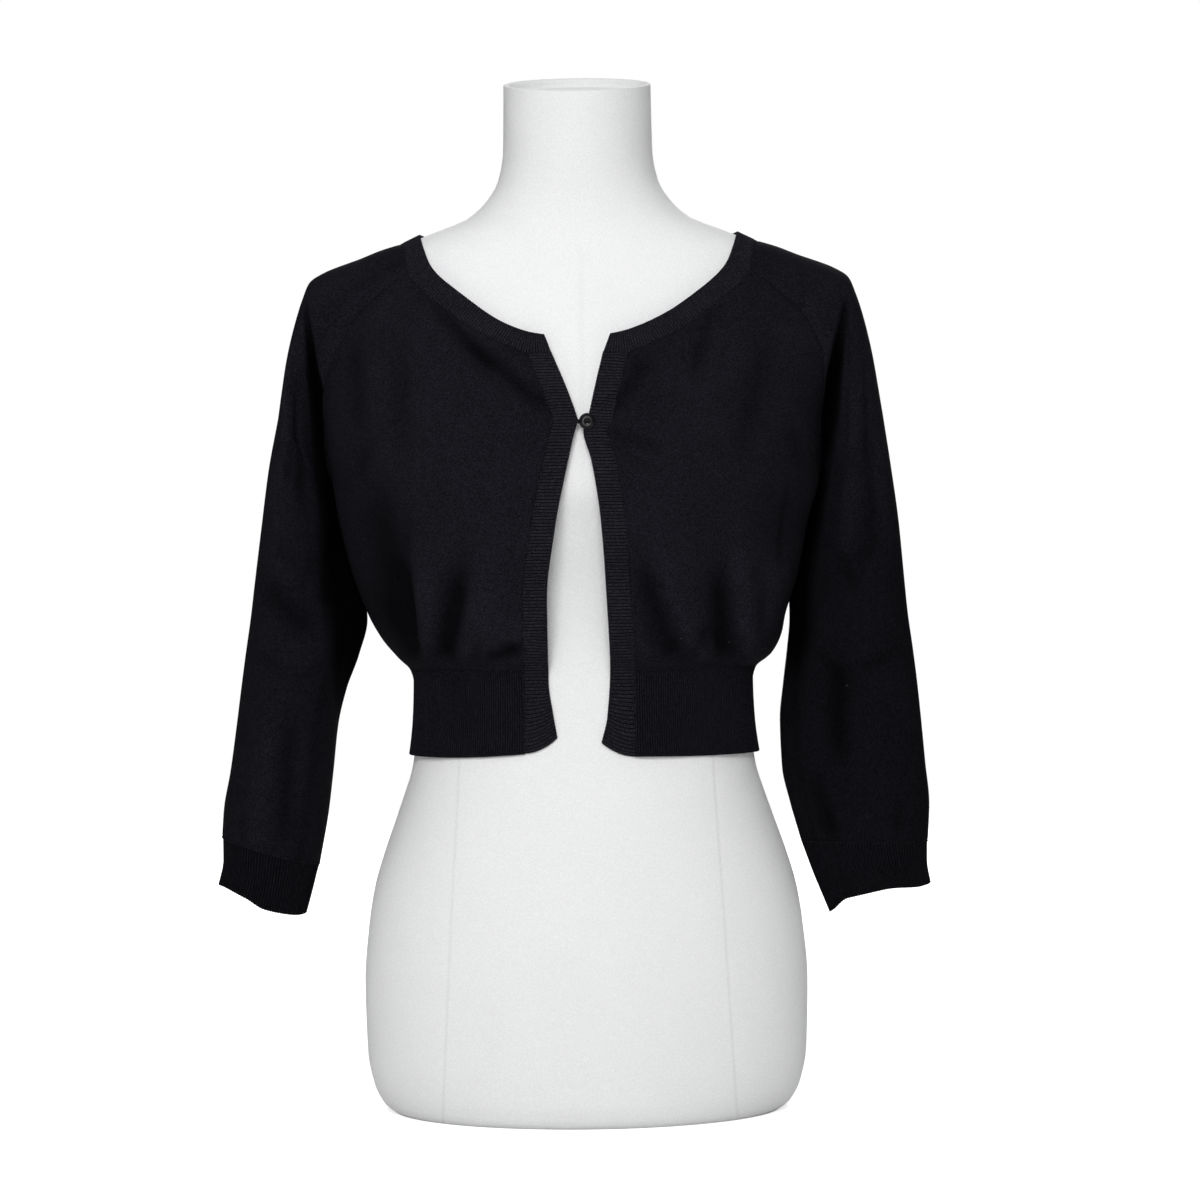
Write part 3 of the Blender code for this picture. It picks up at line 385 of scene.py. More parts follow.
def knit_material(name, column, course, dark, light, relief, lint, ribbed=False):
    """Plain or ribbed knitting with columns and courses of these sizes."""
    material, tree, shader = new_material(name, KNIT_ROUGHNESS, KNIT_GLOSS)
    stitches, place, grain_place = use_stitches(tree, column, course)
    # painted shading from the piece: darker in folds and shaded parts, lighter on ridges
    painted_shading = add_node(tree, "ShaderNodeAttribute", {"attribute_name": "painted_shading"}).outputs["Fac"]
    shade = calc(tree, "MULTIPLY_ADD", painted_shading, -PAINTED_SHADE_STRENGTH, 1.0)
    shade = calc(tree, "MAXIMUM", shade, DARKEST)
    # painted shade in the valleys between the ribs, which hold less light
    if ribbed:
        across = add_node(tree, "ShaderNodeSeparateXYZ", Vector=grain_place).outputs["X"]
        turns = calc(tree, "MULTIPLY", across, math.pi / column)
        ridge = eased(tree, calc(tree, "ABSOLUTE", calc(tree, "SINE", turns)), *VALLEY_EASE)
        open_to_light = calc(tree, "MULTIPLY_ADD", ridge, 1 - VALLEY_LIGHT, VALLEY_LIGHT)
        shade = calc(tree, "MULTIPLY", shade, open_to_light)
    yarn = use_yarn(tree, Position=place, Stitch=stitches, Dark=dark, Light=light, Shade=shade)
    specks = add_node(tree, "ShaderNodeGroup", {"node_tree": LINT}, Position=place, Share=lint)
    color = blended(tree, specks.outputs["Mask"], yarn["Color"], LINT_TONE)
    height = calc(tree, "MULTIPLY_ADD", yarn["Grain"], FIBRE_RELIEF, stitches)
    finish_shader(tree, shader, color, height, relief, KNIT_BUMP)
    return material


def rib_material(label, pitch, light):
    """Ribbing with ribs this far apart; stretched ribbing is darker, as its loops lie open."""
    name = f"black_rib_{label}"
    tones = (RIB_DARK, light)
    return knit_material(name, pitch, COURSE_HEIGHT, *tones, RIB_RELIEF, RIB_LINT, True)


KNIT = knit_material(
    "black_knit", COLUMN_WIDTH, COURSE_HEIGHT, KNIT_DARK, KNIT_LIGHT, KNIT_RELIEF, KNIT_LINT
)
RIBBED = {
    NECK_RIB: rib_material("neck", NECK_RIB, RIB_LIGHT),
    BAND_RIB: rib_material("band", BAND_RIB, RIB_LIGHT),
    WAIST_RIB: rib_material("waist", WAIST_RIB, STRETCHED_LIGHT),
    CUFF_RIB: rib_material("cuff", CUFF_RIB, STRETCHED_LIGHT),
}
SEWING = knit_material(
    "black_linking_yarn", LINK_TWIST, LINK_TWIST, KNIT_DARK, LINK_LIGHT, LINK_RELIEF, lint=0.0
)
print("knitted finishes:", len(RIBBED) + 2)

# %% [markdown]
# The form's cover is white jersey, cut in panels, so its finish has faint sunk lines where
# the panels meet. They are worked out from the place on the form: two slant down its front
# and two down its back, and a short one runs over the throat. The button is glossy black
# plastic with a painted highlight on its raised ring, strongest on one side, and a weaker
# painted reflection over its dish, which its mesh tells with an attribute.
# The floor glows a little for the camera alone, so that it meets the sky without a line.

# %% Make the cover, button and floor finishes
COVER_DARK = (0.74, 0.745, 0.75, 1)
COVER_LIGHT = (0.86, 0.86, 0.865, 1)
FORM_MIDDLE = 0.002
SIDE_SEAM_X = 0.110
SIDE_SEAM_SPREAD = 0.055
SIDE_SEAM_TOP = 0.42
THROAT = (0.45, 0.67)
THROAT_EASE = 0.05
THROAT_SHARE = 0.5
SIDE_SEAM_EASE = (0.0020, 0.0002)
THROAT_SEAM_EASE = (0.0040, 0.0004)
JERSEY_STITCH = (0.0009, 0.0007)
JERSEY_RELIEF = 0.0001
JERSEY_BUMP = 0.6
JERSEY_ROUGHNESS = 0.85
JERSEY_GLOSS = 0.25
COVER_SEAM_SHADE = -0.06
COVER_SEAM_SINK = -3.0
BUTTON_BLACK = (0.004, 0.004, 0.0045, 1)
# the painted highlight's colour on the button's ring and the painted reflection in its dish
BUTTON_PAINTED_HIGHLIGHT = (0.085, 0.085, 0.088, 1)
BUTTON_GLOSS = 0.16
MARKS_A_METRE = 900.0
# roughness between the marks, and how much a mark adds
BUTTON_ROUGHNESS = (0.08, 0.12)
FLOOR_RADIUS = 3.2
FLOOR_GLOW = 0.65


def cover_seams(tree, position):
    """1 on the cover's seams: two down its front and two down its back, and one at the throat."""
    place = add_node(tree, "ShaderNodeSeparateXYZ", Vector=position).outputs
    across = calc(tree, "ABSOLUTE", calc(tree, "SUBTRACT", place["X"], FORM_MIDDLE))
    seam = calc(tree, "MULTIPLY_ADD", place["Z"], -SIDE_SEAM_SPREAD, SIDE_SEAM_X)
    beside = calc(tree, "ABSOLUTE", calc(tree, "SUBTRACT", across, seam))
    below = calc(tree, "LESS_THAN", place["Z"], SIDE_SEAM_TOP)
    side = calc(tree, "MULTIPLY", eased(tree, beside, *SIDE_SEAM_EASE), below)
    upward = eased(tree, place["Z"], THROAT[0], THROAT[0] + THROAT_EASE)
    downward = eased(tree, place["Z"], THROAT[1], THROAT[1] - THROAT_EASE)
    middle = calc(tree, "MULTIPLY", eased(tree, across, *THROAT_SEAM_EASE), THROAT_SHARE)
    middle = calc(tree, "MULTIPLY", middle, calc(tree, "MULTIPLY", upward, downward))
    return calc(tree, "MAXIMUM", side, middle)


def cover_material():
    """The form's white jersey: fine stitches, faint clouds, sunk seams and a weak gloss."""
    material, tree, shader = new_material("white_cover", JERSEY_ROUGHNESS, JERSEY_GLOSS)
    stitches, place, _ = use_stitches(tree, *JERSEY_STITCH)
    seams = cover_seams(tree, place)
    # painted shade along the sunk seams
    shade = calc(tree, "MULTIPLY_ADD", seams, COVER_SEAM_SHADE, 1.0)
    tones = {"Dark": COVER_DARK, "Light": COVER_LIGHT}
    yarn = use_yarn(tree, Position=place, Stitch=stitches, Shade=shade, **tones)
    height = calc(tree, "MULTIPLY_ADD", seams, COVER_SEAM_SINK, stitches)
    finish_shader(tree, shader, yarn["Color"], height, JERSEY_RELIEF, JERSEY_BUMP)
    return material


def button_material():
    """Glossy black plastic with a painted highlight on its ring, and faint handling marks."""
    material, tree, shader = new_material("black_button", BUTTON_ROUGHNESS[0], BUTTON_GLOSS)
    painted_highlight = add_node(tree, "ShaderNodeAttribute", {"attribute_name": "painted_highlight"}).outputs["Fac"]
    color = blended(tree, painted_highlight, BUTTON_BLACK, BUTTON_PAINTED_HIGHLIGHT)
    tree.links.new(color, shader.inputs["Base Color"])
    place = add_node(tree, "ShaderNodeTexCoord").outputs["Object"]
    marks = noise(tree, place, MARKS_A_METRE, 4.0)
    clean, marked = BUTTON_ROUGHNESS
    roughness = calc(tree, "MULTIPLY_ADD", marks, marked, clean)
    tree.links.new(roughness, shader.inputs["Roughness"])
    return material


def floor_material():
    material, tree, shader = new_material("pale_floor", 0.9)
    shader.inputs["Base Color"].default_value = (0.90, 0.90, 0.90, 1)
    shader.inputs["Emission Color"].default_value = WHITE
    rays = add_node(tree, "ShaderNodeLightPath").outputs["Is Camera Ray"]
    tree.links.new(calc(tree, "MULTIPLY", rays, FLOOR_GLOW), shader.inputs["Emission Strength"])
    return material


COVER = cover_material()
BUTTON = button_material()

bpy.ops.mesh.primitive_circle_add(vertices=96, radius=FLOOR_RADIUS, fill_type="NGON")
floor = bpy.context.object
floor.name = "floor"
floor.data.materials.append(floor_material())
print("materials, with those of the solids:", len(bpy.data.materials))

# %% [markdown]
# ## Reading a table smoothly
#
# The garment is described by short tables: a row for each section, with its height and its
# sizes in millimetres. Between the rows a cubic curve is read whose slope is zero wherever
# the values turn round, so it never swings past them.

# %% Table and vector helpers
def metres(rows, shares=0):
    """A table in metres from rows in millimetres, whose first columns may be plain shares."""
    table = np.array(rows, float)
    table[:, shares:] /= 1000
    return table


def smooth(table, at):
    """The table's columns at these values of its first one, with no overshoot."""
    keys, values = table[:, 0], table[:, 1:]
    steps = np.diff(keys)[:, None]
    slopes = np.diff(values, axis=0) / steps
    tangents = np.empty_like(values)
    tangents[0] = slopes[0]
    tangents[-1] = slopes[-1]
    same_way = slopes[:-1] * slopes[1:] > 0
    total = np.where(same_way, slopes[:-1] + slopes[1:], 1.0)
    tangents[1:-1] = np.where(same_way, 2 * slopes[:-1] * slopes[1:] / total, 0.0)
    at = np.clip(np.asarray(at, float), keys[0], keys[-1])
    i = np.clip(np.searchsorted(keys, at, side="right") - 1, 0, len(keys) - 2)
    step = steps[i]
    t = ((at - keys[i])[..., None]) / step
    return (
        values[i] * (1 + 2 * t) * (1 - t) ** 2
        + tangents[i] * step * t * (1 - t) ** 2
        + values[i + 1] * t * t * (3 - 2 * t)
        + tangents[i + 1] * step * t * t * (t - 1)
    )


def unit(vectors):
    return vectors / np.linalg.norm(vectors, axis=-1, keepdims=True)


def ramp(value):
    """0 below 0 and 1 above 1, eased between."""
    value = np.clip(value, 0, 1)
    return value * value * (3 - 2 * value)


print("a ramp:", [round(float(ramp(share)), 2) for share in (0, 0.25, 0.5, 0.75, 1)])

# %% [markdown]
# ## The body of the cardigan
#
# Both the form and the cloth are rings stacked up the body: half an ellipse before and half
# behind, with its sizes read from a table. Angle 0 is the middle of the front and a quarter
# turn is the wearer's left side.

# %% Sections of the form and of the cloth
# height, half width, front depth and back depth, in millimetres
FORM_SECTIONS = metres([
    (0, 148, 98, 106), (6, 156, 103.5, 111.5), (20, 163.5, 108, 116), (45, 168.5, 109.5, 118),
    (100, 170, 108.5, 116.5), (143, 166.5, 106, 112), (171, 162, 104, 106), (200, 153.5, 101, 96),
    (225, 144.5, 98.5, 87), (245, 137.5, 96.5, 80), (262, 132.2, 95, 75.7), (274, 130.3, 94, 74.2),
    (300, 128.4, 92.6, 72.7), (335, 127.6, 91.6, 71.7), (360, 129, 92, 72.2), (400, 134.5, 96, 74.5),
    (440, 142, 108, 79), (480, 149, 121, 83), (510, 153, 118, 86.5), (540, 160, 108.5, 89),
    (570, 170, 96.5, 89.5), (600, 181, 82.5, 85.5), (620, 185, 72.5, 79), (635, 179, 65, 72.5),
    (649, 164, 59.5, 66.5), (658, 148, 57.5, 64), (666, 129.5, 55, 61), (674.5, 108, 53.5, 58.5),
    (682, 88, 52.5, 57), (698, 70, 52.5, 56), (713, 61.5, 53, 55.5), (735, 57.5, 53.5, 55.5),
    (787, 56.6, 55, 55),
])
# the same and the centre in x, for the cloth's outer face
BODY_SECTIONS = metres([
    (260, 133.8, 98.2, 78.2, 0), (274, 132.8, 96.6, 76.8, 0), (300, 131, 95, 75.2, 0),
    (330, 130.3, 94.2, 74.4, 0), (338, 133, 96.5, 76.5, 0), (347, 143, 104, 84, 1),
    (362, 153.5, 112, 90, -1), (380, 160.5, 117, 93, -4), (410, 171, 122, 95, -5),
    (450, 180, 128, 96, -6), (480, 186.8, 129, 96, -4), (505, 190, 127, 96.5, -6),
    (530, 193.5, 120, 97.5, -6), (555, 199, 111, 98, -4), (580, 203, 100.5, 96.5, 0),
    (600, 200, 91.5, 92, 0), (620, 191.5, 82, 86.5, 0), (640, 177.5, 72.5, 79.5, 0),
    (655, 161, 65.5, 72.5, 0), (670, 140, 60, 66, 0), (690, 105, 54, 60, 0),
])


def ring(sections, angle, height):
    """A point of the section at this height; angle 0 is the front and pi/2 the wearer's left."""
    sizes = smooth(sections, height)
    width, front, back = sizes[..., 0], sizes[..., 1], sizes[..., 2]
    middle = sizes[..., 3] if sizes.shape[-1] > 3 else 0.0
    depth = np.where(np.cos(angle) > 0, front, back)
    x = middle + width * np.sin(angle)
    return np.stack([x, -depth * np.cos(angle), height + 0 * x], axis=-1)


print("sections:", len(FORM_SECTIONS), "of the form and", len(BODY_SECTIONS), "of the cloth")

# %% [markdown]
# ## Creases
#
# A crease is a straight line across the cloth with a soft hollow or ridge round it. Each row
# gives its two ends as seen from the front, its half width and its depth. The larger ones
# are the folds that the solids have too: the pulls from the button, the bag of cloth over
# the waistband and the hollows by the arms. The rows after them are finer ones between.

# %% Creases of the body
# start x and height, end x and height, half width, depth: sunk where negative, in millimetres
FRONT_CREASES = metres([
    (-118, 622, -64, 561, 4.5, -3), (-94, 593, -22, 531, 4.8, -3.8), (-92, 600, -34, 552, 4.5, 3),
    (-86, 594, -28, 546, 3.2, -2.2), (-171, 600, -168, 520, 9, -3), (-136, 596, -132, 500, 9, -2.2),
    (-86, 424, -106, 341, 10, -7.5), (-71, 420, -87, 341, 10, 4.2), (-138, 430, -127, 341, 10, -6.2),
    (-122, 424, -116, 341, 8, 5.2), (-157, 495, -142, 360, 18, -5.2), (-78, 376, -80, 340, 5, -3.5),
    (-40, 358, -70, 342, 6, -5), (-48, 376, -60, 360, 9, 4), (-129, 456, -130, 428, 4, -1.6),
    (101, 612, 87, 556, 6, -2.6), (56, 573, 22, 530, 7, -4.6), (46, 562, 24, 540, 6, 2.5),
    (66, 497, 22, 513, 5, -2.6), (145, 602, 123, 500, 10, -2.4), (41, 430, 71, 341, 10, -5.2),
    (56, 424, 90, 341, 10, 4.2), (98, 372, 80, 342, 7, -4.5), (103, 420, 111, 341, 10, -6.6),
    (118, 440, 128, 341, 10, 5.5), (151, 490, 141, 366, 16, -1), (158, 480, 149, 412, 4, -2),
    (149, 430, 143, 372, 10, 4), (-96, 585, -50, 540, 4, -1.2), (-60, 560, -22, 522, 4, -1.2),
    (-24, 512, -50, 500, 4, -1), (22, 552, 40, 575, 4, -1), (26, 506, 48, 486, 4, -1.2),
    (-52, 350, -56, 368, 3, -1.4), (-34, 346, -36, 366, 3, -1.2), (-90, 346, -88, 366, 3, -1.4),
    (-114, 345, -112, 362, 3, -1.2), (34, 346, 35, 366, 3, -1.2), (52, 346, 50, 370, 3, -1.4),
    (70, 345, 69, 360, 3, -1.2), (104, 345, 102, 366, 3, -1.4), (120, 345, 118, 360, 3, -1.2),
    (-150, 395, -138, 360, 5, -2), (140, 400, 132, 362, 5, -1.8), (-160, 510, -168, 480, 5, -2),
    (158, 520, 168, 486, 5, -2),
])
BACK_CREASES = metres([
    (-124, 585, -100, 485, 11, -2.8), (126, 590, 98, 490, 11, -2.8), (-104, 445, -110, 341, 8, -4.2),
    (-86, 430, -92, 341, 8, 3.5), (-48, 410, -56, 341, 6, -3), (-26, 400, -30, 341, 8, 3),
    (2, 432, 12, 341, 7, -3.6), (26, 405, 30, 341, 8, 3), (50, 396, 60, 341, 6, -2.8),
    (76, 432, 88, 341, 9, 3.5), (106, 450, 104, 341, 8, -4.2), (-80, 530, 50, 514, 10, -1.4),
    (70, 476, -40, 462, 12, -1.2), (-126, 346, -124, 366, 3, -1.2), (-66, 346, -68, 370, 3, -1.4),
    (-8, 346, -10, 362, 3, -1.2), (42, 346, 44, 368, 3, -1.4), (94, 346, 96, 364, 3, -1.2),
    (128, 346, 124, 366, 3, -1.2), (-140, 520, -156, 484, 6, -1.8), (142, 524, 158, 486, 6, -1.8),
])
WAIST_SEAM = 0.3380
# the crease depth that gets the full painted shade, and the limits of the painted shading
PAINTED_SHADE_DEPTH = 0.0065
PAINTED_SHADING_RANGE = (-0.2, 0.95)
# a crease starts with this share of its depth; then come the shares of its length where it
# is full and where it would be gone, and the share over which it fades
CREASE_START = 0.15
CREASE_SWELL = 0.4
CREASE_END = 1.1
CREASE_FADE = 0.25
FACING_EASE = 0.3
WAIST_EASE = 0.012


def crease_depth(creases, across, height):
    """Each crease is a soft groove or ridge round a straight line."""
    total = np.zeros(np.shape(across))
    for from_x, from_z, to_x, to_z, half_width, depth in creases:
        run_x, run_z = to_x - from_x, to_z - from_z
        length2 = run_x**2 + run_z**2
        along = ((across - from_x) * run_x + (height - from_z) * run_z) / length2
        along = np.clip(along, 0, 1)
        far2 = (across - from_x - along * run_x) ** 2 + (height - from_z - along * run_z) ** 2
        rise = (1 - CREASE_START) * ramp(along / CREASE_SWELL)
        swell = CREASE_START + rise * ramp((CREASE_END - along) / CREASE_FADE)
        total = total + depth * swell * np.exp(-far2 / half_width**2)
    return total


def body_creases(angle, height):
    """How far the creases raise the cloth there, or sink it where negative."""
    across = ring(BODY_SECTIONS, angle, height)[..., 0]
    facing = np.cos(angle)
    before = crease_depth(FRONT_CREASES, across, height)
    behind = crease_depth(BACK_CREASES, across, height)
    depth = before * ramp(facing / FACING_EASE) + behind * ramp(-facing / FACING_EASE)
    return depth * ramp((height - WAIST_SEAM) / WAIST_EASE)


def painted_shading_of(depth):
    """Painted shading from a crease: shade up to 1 in its groove, light below 0 on a ridge."""
    return np.clip(-depth / PAINTED_SHADE_DEPTH, *PAINTED_SHADING_RANGE)


def nearby(surface, angle, height, step=1e-3):
    """The steps of a surface of angle and height: round the body and up it."""
    round_it = surface(angle + step, height) - surface(angle - step, height)
    return round_it, surface(angle, height + step) - surface(angle, height - step)


def body(angle, height):
    """The cardigan's outer face round the body, with its creases."""
    angle, height = np.broadcast_arrays(np.asarray(angle, float), np.asarray(height, float))
    steps = nearby(lambda turn, level: ring(BODY_SECTIONS, turn, level), angle, height)
    outward = unit(np.cross(*steps))
    return ring(BODY_SECTIONS, angle, height) + outward * body_creases(angle, height)[..., None]


def angle_at(x, height, behind=False):
    """The ring angle of a point this far from the middle, on the front or the back."""
    sizes = smooth(BODY_SECTIONS, height)
    turn = np.arcsin(np.clip((x - sizes[..., 3]) / sizes[..., 0], -1, 1))
    return math.pi - turn if behind else turn


print("creases:", len(FRONT_CREASES), "before and", len(BACK_CREASES), "behind")

# %% [markdown]
# ## Cutting the panels
#
# Each panel is a patch between four edges: the waist seam below, the neckline above, and at
# its sides the side seam that runs on into the raglan, and the front band's seam. A Coons
# patch fills such a frame evenly, so the knitting's columns run up the panel as they do in
# the real one. The patch is drawn on the chart of angle and height and then laid on the body.

# %% Edges of the panels
UNDERARM = 0.4880
NECKLINE_FRONT_CORNER = 0.5722
NECKLINE_BACK_DIP = 0.0050
BAND_WIDTH = 0.0175
BAND_FOOT = 0.2840
SIDE_SHARE = 9 / 21
RAGLAN_START = 11 / 12
# share of the seam from the neck down to the underarm, distance from the middle, height
RAGLAN_FRONT = metres([
    (0, 129.5, 638.5), (0.25, 150, 622), (0.45, 166, 608), (0.6, 177, 592.5), (0.72, 185, 573),
    (0.86, 190, 546), (0.94, 188, 518),
], shares=1)
RAGLAN_BACK = metres([
    (0, 120, 661), (0.25, 139, 645), (0.45, 153, 623), (0.6, 165, 604), (0.72, 175.5, 580),
    (0.86, 185, 548), (0.94, 185, 519),
], shares=1)
# share from the raglan seam to the front band, distance from the middle, height
NECKLINE_FRONT = metres([
    (0, 129.5, 638.5), (0.13, 119, 625), (0.32, 99.5, 608.5), (0.54, 79, 592.5), (0.76, 58, 581),
    (1, 38.5, 572.2),
], shares=1)
# height and x of each front's free edge, from the hem up to the neckband; -1 is the
# wearer's right side and 1 the left, here and in the tables that follow
FREE_EDGE = {
    -1: metres([
        (284, -19.5), (303, -22.5), (332, -25.8), (390, -25.8), (440.9, -19.5), (490, -9.5),
        (513.6, -4), (520.9, -1.8), (526.7, -3.2), (545, -9.5), (572.2, -20.5),
    ]),
    1: metres([
        (284, 14), (303, 18.5), (339, 21), (390, 19), (448.2, 15.2), (491.8, 8.8), (513.6, 3.2),
        (520.9, 6), (526.7, 7.5), (545, 11.5), (572.2, 18),
    ]),
}
SIDES = {-1: "right", 1: "left"}


def free_edge(side, height):
    return smooth(FREE_EDGE[side], height)[..., 0]


def band_seam(side, height):
    """The front band's sewn edge, straight down beside the waistband."""
    return free_edge(side, np.maximum(height, WAIST_SEAM)) + side * BAND_WIDTH


def outer_edge(side, raglan, behind, v):
    """Chart points up the side seam, then up the raglan; v is 0 at the waist, 1 at the neck."""
    side_angle = side * math.pi / 2
    if behind and side < 0:
        side_angle = 3 * math.pi / 2
    low = WAIST_SEAM + (UNDERARM - WAIST_SEAM) * v / SIDE_SHARE
    straight = np.stack([np.full_like(v, side_angle), low], axis=-1)
    share = 1 - (v - SIDE_SHARE) / (1 - SIDE_SHARE)
    places = smooth(raglan, np.clip(share, 0, RAGLAN_START))
    middle = smooth(BODY_SECTIONS, places[:, 1])[:, 3]
    angles = angle_at(side * places[:, 0] + middle, places[:, 1], behind)
    slanted = np.stack([angles, places[:, 1]], axis=-1)
    t = np.clip((1 - share) / (1 - RAGLAN_START), 0, 1)[:, None]
    slanted = np.array([side_angle, UNDERARM]) * (1 - t) + slanted * t
    return np.where(v[:, None] <= SIDE_SHARE, straight, slanted)


def coons(left, right, bottom, top, u, v):
    """A sheet of chart points between four edges; left and right run up, the others across."""
    u = u[None, :, None]
    v = v[:, None, None]
    across = (1 - u) * left[:, None] + u * right[:, None]
    upward = (1 - v) * bottom[None] + v * top[None]
    corners = (1 - v) * ((1 - u) * bottom[0] + u * bottom[-1])
    corners = corners + v * ((1 - u) * top[0] + u * top[-1])
    return across + upward - corners


def front_chart(side, u, v):
    left = outer_edge(side, RAGLAN_FRONT, False, v)
    heights = WAIST_SEAM + (NECKLINE_FRONT_CORNER - WAIST_SEAM) * v
    seam_x = band_seam(side, heights)
    right = np.stack([angle_at(seam_x, heights), heights], axis=-1)
    bottom = left[0] + (right[0] - left[0]) * u[:, None]
    places = smooth(NECKLINE_FRONT, u)
    places[:, 0] += (abs(seam_x[-1]) - places[-1, 0]) * ramp((u - 0.5) * 2)
    top = np.stack([angle_at(side * places[:, 0], places[:, 1]), places[:, 1]], axis=-1)
    top[0] = left[-1]
    top[-1] = right[-1]
    return coons(left, right, bottom, top, u, v)


def back_chart(u, v):
    left = outer_edge(1, RAGLAN_BACK, True, v)
    right = outer_edge(-1, RAGLAN_BACK, True, v)
    bottom = left[0] + (right[0] - left[0]) * u[:, None]
    top = left[-1] + (right[-1] - left[-1]) * u[:, None]
    top[:, 1] -= NECKLINE_BACK_DIP * np.sin(math.pi * u)
    return coons(left, right, bottom, top, u, v)


print("underarm at", UNDERARM, "and neckline corner at", NECKLINE_FRONT_CORNER)

# %% [markdown]
# ## From a sheet of points to cloth
#
# Every cloth piece is a grid of points with its outward directions. The wall below gives the
# grid a second face inside, and lets both faces meet in a rounded edge, so hems look soft
# and nothing is left open. Where an edge is sewn, the cloth dips a little towards the seam.
# The UV map is measured in metres along the grid, which the stitch pattern needs.

# %% Measures along a sheet
CLOTH = 0.0014
SEAM_DIP = 0.0004
SEAM_DIP_WIDTH = 0.0016
SEAM_LAP = 0.0002


def graded(count, length):
    """Shares from 0 to 1 in even steps, with a few more close to both ends."""
    near = np.array([0.0006, 0.0014, 0.0026, 0.0044]) / length
    return np.unique(np.concatenate([np.linspace(0, 1, count + 1), near, 1 - near]))


def run_along(points, axis=0):
    """How far each point lies along its own grid line, in metres."""
    steps = np.linalg.norm(np.diff(points, axis=axis), axis=-1)
    start = np.zeros_like(np.take(steps, [0], axis=axis))
    return np.concatenate([start, np.cumsum(steps, axis=axis)], axis=axis)


def normals_of(points, outward_at, wrap=False):
    """Unit normals of a sheet of points, turned the way outward_at says at its middle."""
    down = np.gradient(points, axis=0)
    if wrap:
        ringed = np.concatenate([points[:, -2:-1], points, points[:, 1:2]], axis=1)
        across = (ringed[:, 2:] - ringed[:, :-2]) / 2
    else:
        across = np.gradient(points, axis=1)
    normals = unit(np.cross(down, across))
    i, j = len(points) // 2, points.shape[1] // 2
    return normals if normals[i, j] @ outward_at(points[i, j]) > 0 else -normals


def from_axis(point):
    return np.array([point[0], point[1], 0.0])


def sewn_in(points, normals, sewn):
    """The sheet dipped at its sewn edges: a 1 or 0 for first and last row, first and last column."""
    down, across = run_along(points), run_along(points, 1)
    distances = (down, down[-1:] - down, across, across[:, -1:] - across)
    dip = np.zeros(points.shape[:2])
    for held, distance in zip(sewn, distances):
        if held:
            dip = np.maximum(dip, np.exp(-((distance / SEAM_DIP_WIDTH) ** 2)))
    return points - normals * (SEAM_DIP * dip)[..., None]


def metres_map(points):
    """A UV for every point: metres across the grid, kept straight down each column, and metres up."""
    across = run_along(points, 1)
    middle = across[len(across) // 2]
    straight = (middle - middle[-1] / 2)[None, :] + 0 * across
    return np.stack([straight, run_along(points)], axis=-1)


print("cloth:", CLOTH * 1000, "mm thick")

# %% Cloth wall
ROUNDED = 0.6
INNER_RIB_SHIFT = 0.5


def quads(index):
    """Faces between neighbouring rows and columns of a grid of vertex numbers."""
    corners = (index[:-1, :-1], index[1:, :-1], index[1:, 1:], index[:-1, 1:])
    return np.stack(corners, axis=-1).reshape(-1, 4)


def on_both(values, inner):
    """A value for each point of both faces; the outer face has one more row and column all round."""
    ends = [(1, 1), (1, 1)] + [(0, 0)] * (values.ndim - 2)
    outer = np.pad(values, ends, mode="edge")
    width = values.shape[2:]
    return np.concatenate([outer.reshape(-1, *width), inner.reshape(-1, *width)])


def write_attribute(mesh, name, values):
    """A number or a vector for every vertex, under this name."""
    kind, field = ("FLOAT", "value") if values.ndim == 1 else ("FLOAT_VECTOR", "vector")
    attribute = mesh.attributes.new(name, kind, "POINT")
    attribute.data.foreach_set(field, values.astype(np.float32).reshape(-1))


